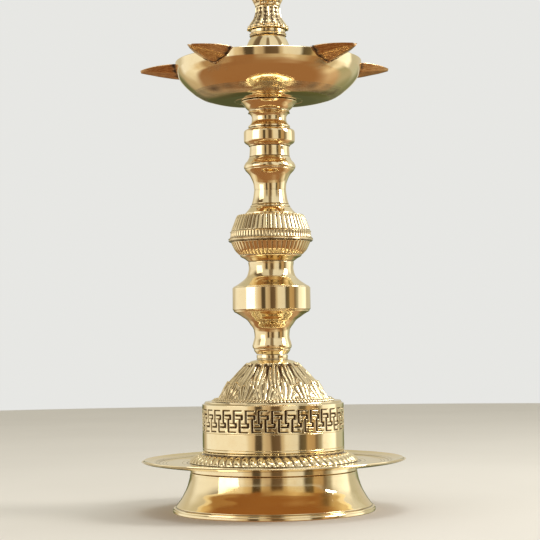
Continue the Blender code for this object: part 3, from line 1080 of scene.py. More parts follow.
@dataclass
class BeadRing:
    """The row of fine beads round the foot of the dome."""

    bottom: float = 63.9
    top: float = 65.5
    radius: float = 36.0
    bore: float = 33.3
    beads: int = 108
    bead_columns: int = 10

    def outline(self) -> Outline:
        """Return the ring's outline."""
        ring = Outline(34.3, self.top).arc(35.6, 64.6, -0.3).line((self.radius, self.bottom))
        return ring.line((self.bore, self.bottom), (self.bore, self.top))

    def beading(self, theta: Grid, r: Grid, z: Grid) -> tuple[Grid, Grid]:
        """Round beads, close together.

        Args:
            theta: the bearing in radians.
            r: the radius.
            z: the height.

        Returns:
            How far the surface stands out and how dark it is.
        """
        _, away = lobes(theta, self.beads)
        outer = (r > self.bore + 0.4) & (z > self.bottom + 0.05)
        bead = np.sqrt(np.maximum(0.0, 1 - away**2))
        height = np.where(outer, (bead - 1) * 0.75, 0.0)
        # The gaps between beads are painted darker with tarnish and painted shade.
        return height, np.where(outer, (1 - bead) ** 1.3, 0.0)

    def build(self, finishes: Finishes) -> None:
        """Make the beaded ring.

        Args:
            finishes: the lamp's finishes.
        """
        ring = Turning("bead_ring", Body.BASE, self.outline(), pattern=self.beading)
        ring.columns = self.beads * self.bead_columns
        ring.fine = ((self.bottom, self.top, self.bore, 0.24),)
        ring.build(finishes)


@dataclass
class Dome:
    """The dome with its two tiers of upright leaves, and the short neck on it."""

    bottom: float = 63.9
    neck_radius: float = 9.1
    neck_top: float = 90.4
    bore: float = 4.6
    leaves: int = 16
    leaf_columns: int = 42
    petals: int = 20

    def outline(self) -> Outline:
        """Return the dome's outline.

        Returns:
            The outline.
        """
        r = self.neck_radius
        dome = Outline(r, self.neck_top).line((r, 88.6), (r - 0.3, 88.4), (r, 88.2), (r, 87.6))
        dome.line((10.6, 87.3)).curve((12.6, 86.7), (14.6, 85.2), (16.4, 83.7), (21.0, 79.0))
        dome.curve((25.0, 75.0), (27.5, 71.6), (30.4, 67.4), (32.2, 65.0), (33.0, self.bottom))
        dome.line((31.0, self.bottom)).curve((28.6, 67.0), (23.0, 74.5), (17.0, 80.6), (11.2, 84.1))
        return dome.line((self.bore, 84.1), (self.bore, self.neck_top))

    def leafage(self, theta: Grid, r: Grid, z: Grid) -> tuple[Grid, Grid]:
        """Fingered leaves in two tiers, the lower over the upper, and petals round the neck.

        Args:
            theta: the bearing in radians.
            r: the radius.
            z: the height.

        Returns:
            How far the surface stands out and how dark it is.
        """
        outer = (r > 9.3) & (z > self.bottom + 0.02) & (r > 27.6 - (z - 63.9) * 0.62)
        outer = outer & ((z > 84.3) | (r > 11.6 + (84.1 - z) * 0.9))
        height = np.full(np.broadcast(theta, z).shape, -0.6)
        # The ground between the leaves is painted dark with tarnish and painted shade.
        dirt_and_shade = np.full(height.shape, 0.8)
        for low, high, shift, proud in ((66.0, 86.4, 0.5, 0.45), (62.4, 74.6, 0.0, 1.25)):
            inside, shape, stain_and_shade = self._tier(theta, z, low, high, shift, proud)
            height = height * (1 - inside) + shape * inside
            dirt_and_shade = dirt_and_shade * (1 - inside) + stain_and_shade * inside
        _, away = lobes(theta, self.petals)
        petal = 84.6 + 1.1 * away**2
        inside = ease(-0.1, 0.25, z - petal) * (1 - ease(87.0, 87.2, z))
        height = height * (1 - inside) + (0.75 - 0.75 * away**3) * inside
        dirt_and_shade = dirt_and_shade * (1 - inside) + (away**4 * 0.9 - 0.1) * inside
        seat = ease(self.bottom, self.bottom + 0.7, z)
        top = 1 - ease(86.8, 87.3, z)
        height = height * seat * top
        return np.where(outer, height, 0.0), np.where(outer, np.clip(dirt_and_shade * top, -0.6, 1), 0.0)

    def _tier(
        self, theta: Grid, z: Grid, low: float, high: float, shift: float, proud: float
    ) -> tuple[Grid, Grid, Grid]:
        """Draw one tier of leaves.

        Args:
            theta: the bearing.
            z: the height.
            low: where the leaves start.
            high: where their tips end.
            shift: how far the tier is turned, in leaves.
            proud: how far the tips stand out.

        Returns:
            Where the leaves are, how high they stand and how dark they are.
        """
        sway = hand_waves(31, theta * 25.0, z, 9.0) * 0.10
        share, away = lobes(theta, self.leaves, shift)
        up = (z - low) / (high - low)
        bent = share * (1.0 + 0.10 * np.sin(up * 7.0)) + sway * 0.35
        finger = bent * 1.45 / (0.40 + 0.55 * np.clip(up, 0, 1))
        number = np.round(finger)
        beside = np.abs(finger - number) * 2
        tip = 1.0 - 0.125 * np.abs(number) ** 1.25 - 0.055 * beside**2.0 + sway * 0.12
        gap = 0.97 - 0.30 * ease(0.5, 1.0, up) - 0.22 * (1 - ease(0.0, 0.3, up))
        inside = ease(-0.012, 0.018, tip - up) * (1 - ease(gap - 0.05, gap + 0.03, away))
        inside = inside * (up > 0)
        ridge = np.sqrt(np.maximum(0.0, 1 - (beside * 0.98) ** 2))
        core = np.exp(-((finger / 0.34) ** 2))
        swell = 0.5 + 0.5 * np.sin(up * 21.0 + number * 1.7)
        shape = proud * ease(0.05, 1.0, up) + 0.85 * (ridge - 1) + 0.26 * core
        shape = shape + 0.12 * swell - 0.10 * np.abs(number)
        # Gaps between fingers are painted darker with tarnish and painted shade; ridges are worn
        # bright.
        stain_and_shade = (1 - ridge) ** 1.1 * 1.25 - 0.16 * ridge + 0.08 * swell
        return inside, shape, stain_and_shade

    def build(self, finishes: Finishes) -> None:
        """Make the dome.

        Args:
            finishes: the lamp's finishes.
        """
        dome = Turning("base_dome", Body.BASE, self.outline(), pattern=self.leafage)
        dome.columns = self.leaves * self.leaf_columns
        dome.fine = ((self.bottom, 87.4, 12.0, 0.33),)
        dome.coarse = 3.0
        dome.build(finishes)


@dataclass
class ThreadedRod:
    """A round rod, threaded over part of its length."""

    node: str
    body: Body
    radius: float
    bottom: float
    top: float
    pitch: float
    threads: Sequence[Point] = ()
    shoulder: Optional[tuple[float, float, float]] = None

    def outline(self) -> Outline:
        """Return the rod's outline, with chamfered ends and its shoulder if it has one.

        Returns:
            The outline.
        """
        r = self.radius
        rod = Outline(0.0, self.top).line((r - 0.7, self.top), (r, self.top - 0.7))
        if self.shoulder:
            wide, low, high = self.shoulder
            rod.line((r, high), (wide - 0.4, high), (wide, high - 0.4), (wide, low + 0.3))
            rod.line((wide - 0.3, low), (r, low))
        return rod.line((r, self.bottom + 0.7), (r - 0.7, self.bottom), (0.0, self.bottom))

    def thread(self, theta: Grid, r: Grid, z: Grid) -> tuple[Grid, Grid]:
        """A right-hand thread that fades out at its ends.

        Args:
            theta: the bearing in radians.
            r: the radius.
            z: the height.

        Returns:
            How far the surface stands out and how dark it is.
        """
        wave = np.cos((z / self.pitch - theta / math.tau) * math.tau) * 0.5 + 0.5
        there = np.zeros(np.broadcast(theta, z).shape)
        for low, high in self.threads:
            there = np.maximum(there, ease(low, low + 0.6, z) * (1 - ease(high - 0.6, high, z)))
        there = there * (np.abs(r - self.radius) < 0.05)
        # Thread roots are painted darker with tarnish and painted shade.
        return -0.55 * self.pitch * (1 - wave) * there, (1 - wave) * there * 0.7 - there * 0.2

    def build(self, finishes: Finishes) -> None:
        """Make the rod.

        Args:
            finishes: the lamp's finishes.
        """
        rod = Turning(self.node, self.body, self.outline(), Slot.INNER, 48, self.thread)
        inner, step = self.radius - 0.1, self.pitch / 8
        rod.fine = tuple((low, high, inner, step) for low, high in self.threads)
        rod.solid = True
        rod.coarse = 6.0
        rod.build(finishes)


# -------------------------------------------------------------------------------------------------
# The stem


@dataclass
class LowerStem:
    """The lower stem with its wide plain band."""

    bottom: float = 90.7
    top: float = 148.4
    band_radius: float = 22.8

    def outline(self) -> Outline:
        """Return the stem's outline.

        Returns:
            The outline.
        """
        r = self.band_radius
        stem = Outline(18.1, self.top).curve((17.4, 147.6), (15.5, 146.6), (14.2, 145.6))
        stem.line((13.5, 145.1), (13.15, 144.75), (13.4, 144.4))
        stem.curve((13.1, 142.2), (13.2, 139.8), (14.3, 136.3), (16.4, 134.0), (19.3, 131.9))
        stem.curve((21.2, 130.7), (22.2, 130.25)).line((22.2, 129.9), (22.5, 129.75))
        stem.line((r, 129.5), (r, 116.9), (22.4, 116.6), (22.2, 116.3), (22.0, 115.6))
        stem.curve((21.3, 115.2), (19.3, 114.1), (16.7, 112.3), (14.3, 110.6), (12.6, 108.2))
        stem.curve((10.9, 105.9), (10.3, 103.5), (10.25, 100.6), (10.9, 98.2), (11.5, 96.0))
        stem.curve((11.3, 94.6), (10.9, 94.1)).line((10.6, 93.95), (10.7, 93.6))
        stem.curve((10.4, 92.6), (9.3, 91.2), (9.0, self.bottom))
        stem.line((7.0, self.bottom), (7.0, 93.3), (6.3, 93.3), (6.3, 107.0), (3.8, 107.0))
        stem.line((3.8, 113.0), (10.3, 113.0), (17.0, 118.0), (17.0, 128.0), (10.3, 137.0))
        return stem.line((10.3, self.top))

    def build(self, finishes: Finishes) -> None:
        """Make the lower stem."""
        stem = Turning("lower_stem", Body.STEM, self.outline(), columns=180, fillet=0.22)
        stem.build(finishes)


@dataclass
class Knop:
    """The fluted knop: two halves and the beaded belt between them."""

    seat: float = 148.7
    belt_bottom: float = 156.5
    belt_top: float = 162.6
    top: float = 172.3
    belt_radius: float = 25.1
    bore: float = 16.5
    stud_hole: float = 4.1
    flutes: int = 48
    flute_columns: int = 14
    depth: float = 0.62
    beads: int = 72
    bead_columns: int = 10

    def lower(self) -> Outline:
        """Return the lower half's outline.

        Returns:
            The outline.
        """
        top = self.belt_bottom - 0.3
        half = Outline(23.3, top).curve((22.7, 155.0), (21.9, 153.2), (20.9, 151.4), (19.6, 150.0))
        half.curve((18.9, 149.3), (18.1, self.seat)).line((self.stud_hole, self.seat))
        return half.line((self.stud_hole, 150.7), (14.5, 150.7), (self.bore, top))

    def upper(self) -> Outline:
        """Return the upper half's outline.

        Returns:
            The outline.
        """
        low = self.belt_top + 0.3
        half = Outline(18.0, self.top).line((19.2, 172.2), (19.8, 171.6)).curve((20.6, 169.9))
        half.curve((21.6, 167.2), (22.5, 164.9), (23.2, low)).line((self.bore, low))
        half.line((13.5, 170.3), (self.stud_hole, 170.3), (self.stud_hole, self.top))
        return half

    def belt(self) -> Outline:
        """Return the belt's outline: a beaded half above a plain lip.

        Returns:
            The outline.
        """
        r, low, high = self.belt_radius, self.belt_bottom, self.belt_top
        belt = Outline(r - 1.6, high).line((r - 1.2, high - 0.5)).arc(r - 0.6, 158.5, -0.40)
        belt.line((r - 0.9, 158.3), (r - 0.2, 158.1)).arc(r - 0.2, 157.1, -0.45)
        belt.line((r - 0.9, 156.95), (r - 1.1, 156.7))
        return belt.line((r - 0.6, low), (17.5, low), (17.5, high))

    def fluting(self, theta: Grid, r: Grid, z: Grid) -> tuple[Grid, Grid]:
        """Fine flutes that run up both halves and end in rounded tips.

        Args:
            theta: the bearing in radians.
            r: the radius.
            z: the height.

        Returns:
            How far the surface stands out and how dark it is.
        """
        _, away = lobes(theta, self.flutes)
        low = z < self.belt_bottom
        start = np.where(low, self.seat, self.belt_top + 0.3)
        end = np.where(low, self.belt_bottom - 0.3, self.top)
        up = (z - start) / (end - start)
        outer = (r > self.bore + 0.4) & (up > 0.0) & (up < 1.0)
        cut = away**4.5
        tip = np.where(low, 1 - ease(0.08, 0.20, up), ease(0.86, 0.94, up)) * away**2
        ends = ease(0.0, 0.05, up) * (1 - ease(0.95, 1.0, up))
        round_end = np.where(low, ease(0.04, 0.16, up), 1 - ease(0.90, 0.98, up))
        height = -self.depth * np.maximum(cut * round_end, tip) * ends
        # Flutes are painted darker with tarnish and painted shade.
        dirt_and_shade = (np.maximum(cut * 1.15, tip) - 0.12) * ends * np.where(low, 0.6, 1.0)
        return np.where(outer, height, 0.0), np.where(outer, dirt_and_shade, 0.0)

    def beading(self, theta: Grid, r: Grid, z: Grid) -> tuple[Grid, Grid]:
        """Beads on the belt's upper half.

        Args:
            theta: the bearing in radians.
            r: the radius.
            z: the height.

        Returns:
            How far the surface stands out and how dark it is.
        """
        _, away = lobes(theta, self.beads)
        rise = np.abs(z - 160.3) / 1.75
        outer = (r > 21.0) & (z > 158.5) & (z < 162.2)
        bead = np.sqrt(np.maximum(0.0, 1 - away**2)) * np.sqrt(np.maximum(0.0, 1 - rise**2))
        height = np.where(outer, (bead - 0.8) * 0.75, 0.0)
        # Gaps between beads are painted darker with tarnish and painted shade; bead tops are worn
        # bright.
        return height, np.where(outer, 0.9 * (1 - bead) ** 1.3 - 0.15 * bead, 0.0)

    def build(self, finishes: Finishes) -> None:
        """Make the knop's three pieces.

        Args:
            finishes: the lamp's finishes.
        """
        for node, outline in (("knop_lower", self.lower()), ("knop_upper", self.upper())):
            half = Turning(node, Body.STEM, outline, pattern=self.fluting)
            half.columns = self.flutes * self.flute_columns
            half.fine = ((self.seat, self.top, self.bore + 0.6, 0.34),)
            half.build(finishes)
        belt = Turning("knop_belt", Body.STEM, self.belt(), pattern=self.beading)
        belt.columns = self.beads * self.bead_columns
        belt.fine = ((self.belt_bottom, self.belt_top, 24.0, 0.28),)
        belt.build(finishes)


@dataclass
class UpperStem:
    """The upper stem, the thick ring on it and the cup under the dish."""

    bottom: float = 172.6
    top: float = 212.3
    ring_bottom: float = 212.6
    ring_top: float = 223.3
    cup_bottom: float = 223.6
    cup_top: float = 238.9
    stud_hole: float = 4.1

    def shaft(self) -> Outline:
        """Return the upper stem's outline.

        Returns:
            The outline.
        """
        shaft = Outline(11.6, self.top).line((11.6, 210.3), (11.75, 208.0), (11.9, 206.6))
        shaft.line((11.6, 206.35), (12.1, 206.05)).curve((13.0, 204.2), (14.2, 202.9))
        shaft.curve((14.9, 201.7), (15.2, 200.4), (14.9, 199.4)).line((14.5, 199.25), (14.6, 198.9))
        shaft.curve((14.0, 198.0), (12.2, 196.1), (10.9, 193.7), (9.75, 190.7), (9.3, 186.8))
        shaft.curve((10.0, 181.9), (10.9, 178.7)).line((10.6, 178.4), (11.3, 178.0))
        shaft.curve((11.8, 177.1)).line((11.5, 176.8), (12.2, 176.3))
        shaft.curve((13.0, 175.2), (14.1, 174.0)).line((14.8, 173.3), (14.9, self.bottom))
        return shaft.line((self.stud_hole, self.bottom), (self.stud_hole, self.top))

    def ring(self) -> Outline:
        """Return the thick ring's outline.

        Returns:
            The outline.
        """
        top, low = self.ring_top, self.ring_bottom
        ring = Outline(11.9, top).line((12.3, top - 0.2), (12.2, 222.75), (12.9, 222.6))
        ring.curve((14.3, 222.0), (14.9, 221.0), (15.0, 218.2), (14.9, 215.4), (14.2, 214.4))
        ring.curve((13.2, 213.8), (12.5, 213.3)).line((12.1, low))
        return ring.line((self.stud_hole, low), (self.stud_hole, top))

    def cup(self) -> Outline:
        """Return the cup's outline, with the recess that holds the washer and the nut.

        Returns:
            The outline.
        """
        cup = Outline(16.4, self.cup_top).line((16.4, 238.5)).curve((15.0, 237.2), (13.6, 235.2))
        cup.line((12.9, 234.5), (12.5, 234.2)).arc(12.4, 232.1, -0.45).line((11.6, 231.9))
        cup.curve((10.7, 230.9), (10.2, 229.6), (10.2, 227.6), (10.6, 226.4), (11.4, 225.2))
        cup.line((12.1, 224.7), (12.3, 224.4), (12.3, self.cup_bottom))
        cup.line((self.stud_hole, self.cup_bottom), (self.stud_hole, 232.3), (7.0, 232.3))
        return cup.line((7.0, 237.8), (13.5, 237.8), (13.5, self.cup_top))

    def build(self, finishes: Finishes) -> None:
        """Make the shaft, the ring and the cup.

        Args:
            finishes: the lamp's finishes.
        """
        parts = (("upper_stem", self.shaft()), ("neck_ring", self.ring()), ("dish_cup", self.cup()))
        for node, outline in parts:
            Turning(node, Body.STEM, outline, columns=160, fillet=0.2).build(finishes)
        washer = Outline(13.0, 238.9).arc(13.2, 238.2, -0.3).line((4.1, 238.1), (4.1, 238.9))
        leather = Turning("seal_washer", Body.STEM, washer, Slot.LEATHER, 120)
        leather.build(finishes)


# -------------------------------------------------------------------------------------------------
# The dish and its spouts


@dataclass
class WickSpout:
    """One hand-cut spout: a V-shaped trough brazed to the dish."""

    number: int
    bearing: float
    tip_radius: float
    root: float = 49.0
    half_width: float = 12.4
    nose: float = 1.3
    keel: float = 254.6
    tip_keel: float = 260.4
    rim: float = 262.4
    tip_top: float = 261.9
    crown: float = 0.7
    wall: float = 1.4
    knee_width: float = 0.66
    knee_height: float = 0.38
    channel_end: float = 0.88
    hull_overlap: float = 0.45
    channel_overlap: float = 1.15
    steps: int = 64
    points: int = 49
    braze_points: int = 90
    braze_sides: int = 12

    def measure(self, share: Grid, inset: Grid) -> tuple[Grid, Grid, Grid, Grid]:
        """Measure the spout's section.

        Args:
            share: how far along the spout it is, from 0 to 1.
            inset: how far inside the outer faces it is taken.

        Returns:
            The half width, and the heights of the keel, the knee and the top edge.
        """
        taper = (1 - np.clip(share, 0, 1) ** 1.7) ** 0.85
        half = self.nose + (self.half_width - self.nose) * taper - inset
        keel = self.keel + (self.tip_keel - self.keel) * share**1.4 + inset
        top = self.rim + (self.tip_top - self.rim) * share + self.crown * np.sin(math.pi * share)
        return half, keel, keel + (top - keel) * self.knee_height, top

    def section(self, share: Grid, turn: Grid, inset: Grid) -> tuple[Grid, Grid]:
        """Return the section's points, across and up, for turn from -1 to 1 round the hull.

        Args:
            share: how far along the spout it is, from 0 to 1.
            turn: how far round the hull it is, from -1 to 1.
            inset: how far inside the outer faces it is taken.

        Returns:
            The points' places across the spout and their heights.
        """
        half, keel, knee, top = self.measure(share, inset)
        side, away = np.sign(turn), np.abs(turn)
        low = np.clip(away / 0.5, 0, 1)
        high = np.clip((away - 0.5) / 0.5, 0, 1)
        soft_keel = np.sqrt(low**2 + 0.016) - 0.1265
        across = half * (self.knee_width * low + (1 - self.knee_width) * high)
        up = keel + (knee - keel) * soft_keel * 1.12 * (1 - high) + (knee - keel) * high
        return side * across, up + (top - knee) * high

    def start_radius(self, height: Grid, inset: float) -> Grid:
        """Return where the hull begins, a little inside the dish's wall at each height.

        Args:
            height: the height.
            inset: how far inside the outer faces it is taken.

        Returns:
            The radius.
        """
        levels = (239.0, 246.6, 249.8, 252.7, 256.2, 259.7, 262.4, 266.0)
        radii = (39.0, 46.8, 50.0, 52.4, 53.8, 54.4, 54.7, 54.8)
        return np.interp(height, levels, radii) - inset

    def face(self, share: Grid, turn: Grid, inner: bool) -> tuple[Grid, Grid]:
        """Return one face's points, across and up.

        Args:
            share: how far along the spout they are, from 0 to 1.
            turn: how far round the hull they are, from -1 to 1.
            inner: whether it is the channel's face, which rises to nothing near the tip.

        Returns:
            The points' places across the spout and their heights.
        """
        across, up = self.section(share, turn, self.wall if inner else 0.0)
        if not inner:
            return across, up
        _, _, _, top = self.measure(share, 0.0)
        deep = np.clip(1 - (share / self.channel_end) ** 5, 0.0, 1.0)
        return across * (0.35 + 0.65 * deep), top - (top - up) * deep

    def wear_and_shade(self, along: Grid, turn: Grid, inner: bool) -> Grid:
        """Return how worn or dark a face is: edges worn bright, painted shade at the root where the
        spout meets the dish, and the channel dark.

        Args:
            along: how far along the face it is, from 0 to 1.
            turn: how far round the hull it is, from -1 to 1.
            inner: whether it is the channel's face.

        Returns:
            Up to 1 where it is dark and down to -1 where it is worn.
        """
        away = np.abs(turn)
        knee = np.exp(-(((away - 0.5) / 0.045) ** 2))
        keel = np.exp(-((away / 0.05) ** 2))
        lip = np.exp(-(((away - 1) / 0.04) ** 2))
        # The root is painted dark as the shadow where the spout meets the dish.
        root = 1 - ease(0.0, 0.16, along + 0.03 * np.sin(turn * 19))
        if inner:
            return 0.55 - lip * 0.9 + 0.3 * root
        return root * 0.95 - (knee * 0.55 + keel * 0.5 + lip * 0.9) * (1 - root)

    def mesh(self) -> bpy.types.Mesh:
        """Return the spout's closed mesh.

        Returns:
            The mesh.
        """
        along = np.linspace(0, 1, self.steps)[:, None]
        turn = np.linspace(-1, 1, self.points)[None, :]
        length = self.tip_radius - self.root
        away = np.abs(turn)
        places, reliefs, grains = [], [], []
        for inner in (False, True):
            _, up = self.face(along * self.channel_end if inner else along**0.92, turn, inner)
            first = self.start_radius(up, self.channel_overlap if inner else self.hull_overlap)
            radius = first + (self.tip_radius - first) * along
            share = np.clip((radius - self.root) / length, 0, 1)
            if inner:
                share = share * self.channel_end
                radius = first + (self.root + length * self.channel_end - first) * along
            across, up = self.face(share, turn, inner)
            uneven = hand_waves(40 + self.number, radius, turn * 9 + inner * 30, 9.0)
            fade = ease(0.0, 0.12, along)
            across = across + np.sign(turn) * away**0.5 * uneven * 0.10 * fade * (1 - 0.5 * along)
            up = up + uneven * 0.07 * fade * (away < 0.98)
            places.append(np.stack(np.broadcast_arrays(radius, across, up), axis=-1))
            reliefs.append(np.broadcast_to(self.wear_and_shade(along, turn, inner), radius.shape))
            offset = self.number * 37.0 + inner * 11.0
            grain = np.broadcast_arrays(radius, np.sign(turn) * away * 11.0 + offset, turn * 0.0)
            grains.append(np.stack(grain, axis=-1))
        hull, relief, grain = (
            np.concatenate((outer, channel[:, ::-1]), axis=1)
            for outer, channel in (places, reliefs, grains)
        )
        mesh = grid_mesh(f"wick_spout_{self.number}_cut", hull, False, True)
        set_attribute(mesh, "relief", relief.ravel())
        set_attribute(mesh, "grain", grain.reshape(-1, 3))
        return self.closed(mesh)

    def braze(self) -> bpy.types.Mesh:
        """Return the uneven bead of braze where the spout meets the dish.

        Returns:
            The mesh.
        """
        points, sides = self.braze_points, self.braze_sides
        turn = np.linspace(-1.0, 1.0, points)[:, None]
        share = np.full_like(turn, 0.14)
        across, up = self.section(share, turn, 0.0)
        for _ in range(3):
            radius = self.start_radius(up, 0.0)
            share = (radius - self.root) / (self.tip_radius - self.root)
            across, up = self.section(share, turn, 0.0)
        depth = np.sqrt(np.maximum(radius**2 - across**2, 1.0)) - radius
        lumps = hand_waves(70 + self.number, turn * 24.0, turn * 0.0, 5.0)
        thick = 0.62 + 0.20 * lumps
        thick = thick * (0.35 + 0.65 * ease(-1.0, -0.93, turn) * (1 - ease(0.93, 1.0, turn)))
        ring = np.linspace(0, math.tau, sides, endpoint=False)[None, :]
        out = np.sign(turn) * np.abs(turn) ** 0.7
        x = radius + depth + 0.1 + thick * np.cos(ring) * 1.15
        y = across + (thick * np.sin(ring) * 0.9 + 0.1) * out
        z = up - 0.15 + thick * np.sin(ring) * (1.1 - np.abs(out)) - (1 - np.abs(out)) * 0.15
        places = np.stack(np.broadcast_arrays(x, y, z), axis=-1)
        mesh = grid_mesh(f"wick_spout_{self.number}_braze", places, False, True)
        dark = np.broadcast_to(0.25 + 0.35 * lumps, (points, sides))
        set_attribute(mesh, "relief", dark.ravel())
        set_attribute(mesh, "grain", places.reshape(-1, 3))
        return self.closed(mesh)

    def closed(self, mesh: bpy.types.Mesh) -> bpy.types.Mesh:
        """Turn a mesh to the spout's bearing, close its open ends and face it outward.

        Args:
            mesh: the mesh, drawn along the X axis.

        Returns:
            The same mesh.
        """
        mesh.transform(Matrix.Rotation(self.bearing, 4, "Z"))
        shape = bmesh.new()
        shape.from_mesh(mesh)
        ends = [edge for edge in shape.edges if edge.is_boundary]
        bmesh.ops.holes_fill(shape, edges=ends, sides=0)
        bmesh.ops.recalc_face_normals(shape, faces=shape.faces)
        shape.to_mesh(mesh)
        shape.free()
        return mesh

    def channel(self) -> bpy.types.Object:
        """Return a cutter the shape of the spout's channel, for the notch in the dish.

        Returns:
            The cutter.
        """
        shape = bmesh.new()
        rings = []
        for share in np.linspace(-0.05, 0.7, 7):
            turn = np.linspace(-1, 1, 21)
            across, up = self.section(np.full(21, max(share, 0.0)), turn, self.wall)
            distance = self.root + (self.tip_radius - self.root) * share
            ring = [shape.verts.new((distance, a, u)) for a, u in zip(across, up)]
            ring.append(shape.verts.new((distance, across[-1], self.rim + 6)))
            ring.append(shape.verts.new((distance, across[0], self.rim + 6)))
            rings.append(ring)
        shape.faces.new(rings[0])
        shape.faces.new(reversed(rings[-1]))
        for near, far in zip(rings, rings[1:]):
            for i in range(len(near)):
                j = (i + 1) % len(near)
                shape.faces.new((near[i], far[i], far[j], near[j]))
        turned = Matrix.Rotation(self.bearing, 4, "Z") @ Matrix.Scale(MM, 4)
        bmesh.ops.transform(shape, matrix=turned, verts=shape.verts)
        bmesh.ops.recalc_face_normals(shape, faces=shape.faces)
        mesh = bpy.data.meshes.new("channel_cutter")
        shape.to_mesh(mesh)
        shape.free()
        cutter = bpy.data.objects.new("channel_cutter", mesh)
        bpy.context.scene.collection.objects.link(cutter)
        return cutter

    def build(self, finishes: Finishes) -> None:
        """Make the spout and its braze.

        Args:
            finishes: the lamp's finishes.
        """
        node = f"wick_spout_{self.number}"
        for mesh in (self.mesh(), self.braze()):
            fit(mesh, node, Body.DISH, Slot.SPOUT, finishes)


@dataclass
class Dish:
    """The oil dish with its five notches and spouts."""

    bottom: float = 239.2
    rim: float = 262.4
    radius: float = 54.7
    wall: float = 1.3
    hole: float = 4.1
    first_bearing: float = math.radians(90)
    tip_radii: tuple[float, ...] = (76.6, 79.6, 77.6, 77.4, 76.9)
    spouts: list[WickSpout] = field(default_factory=list)

    def outline(self) -> Outline:
        """Return the dish's outline.

        Returns:
            The outline.
        """
        r, rim, wall = self.radius, self.rim, self.wall
        dish = Outline(r - 0.35, rim).line((r, rim - 0.35), (r - 0.05, 260.1))
        dish.line((r - 0.18, 258.4), (r - 0.45, 257.2))
        dish.curve((53.7, 255.6), (52.4, 252.7), (50.0, 249.6), (46.8, 246.5), (43.3, 243.7))
        dish.curve((39.2, 241.4), (33.9, 239.9), (28.0, self.bottom))
        dish.line((20.2, self.bottom), (19.8, 239.4), (19.4, self.bottom))
        dish.line((self.hole, self.bottom), (self.hole, self.bottom + wall))
        dish.line((27.6, self.bottom + wall)).curve((33.4, 241.2), (38.0, 242.6))
        dish.curve((42.2, 244.8), (45.6, 247.4), (48.7, 250.6), (51.0, 253.4), (52.4, 256.4))
        dish.curve((53.0, 259.6), (r - wall, rim - 0.3)).line((r - wall + 0.3, rim))
        return dish

    def spinning(self, theta: Grid, r: Grid, z: Grid) -> tuple[Grid, Grid]:
        """The unevenness of spun sheet, oil stains inside and patchy darkening on the outer wall
        round each spout's root.

        Args:
            theta: the bearing in radians.
            r: the radius.
            z: the height.

        Returns:
            How far the surface stands out and how dark it is.
        """
        x, y = r * np.cos(theta), r * np.sin(theta)
        waves = hand_waves(21, x, y + z * 1.3, 17.0) * 0.035 + hand_waves(22, x, y, 7.0) * 0.006
        inside = (z > 240.4) & (r < np.interp(z, (240.5, 246.6, 252.7, 262.4), (41, 46, 51.9, 54)))
        pool = inside * (1 - ease(243.0, 247.5, z)) * (0.35 + 0.2 * hand_waves(23, x, y, 9.0))
        _, away = lobes(theta - self.first_bearing, len(self.tip_radii), 0.5)
        # Patchy darkening on the outer wall round each spout's root.
        near_spout_roots = (1 - ease(0.12, 0.34, away)) * ease(249.0, 253.0, z) * (~inside)
        patchy = np.clip(0.5 + 0.5 * hand_waves(24, theta * 50, z, 6.0), 0, 1)
        return waves, pool + near_spout_roots * patchy * 0.22

    def build(self, finishes: Finishes) -> None:
        """Make the dish, cut its notches and add its spouts.

        Args:
            finishes: the lamp's finishes.
        """
        dish = Turning("oil_dish", Body.DISH, self.outline(), columns=240, pattern=self.spinning)
        dish.fillet = 0.16
        piece = dish.build(finishes)
        for number, tip_radius in enumerate(self.tip_radii):
            bearing = self.first_bearing + math.tau * number / len(self.tip_radii)
            self.spouts.append(WickSpout(number + 1, bearing, tip_radius))
        cutters = [spout.channel() for spout in self.spouts]
        for cutter in cutters:
            notch = piece.modifiers.new("notch", "BOOLEAN")
            notch.operation = "DIFFERENCE"
            notch.solver = "EXACT"
            notch.object = cutter
        graph = bpy.context.evaluated_depsgraph_get()
        whole = bpy.data.meshes.new_from_object(piece.evaluated_get(graph))
        piece.modifiers.clear()
        piece.data = whole
        finishes.dress(piece, Slot.POLISHED)
        for cutter in cutters:
            bpy.data.objects.remove(cutter, do_unlink=True)
        whole.set_sharp_from_angle(angle=math.radians(40))
        LOG.info("%s: %d faces with its notches", piece.name, len(whole.polygons))
        for spout in self.spouts:
            spout.build(finishes)


# -------------------------------------------------------------------------------------------------
# The finial


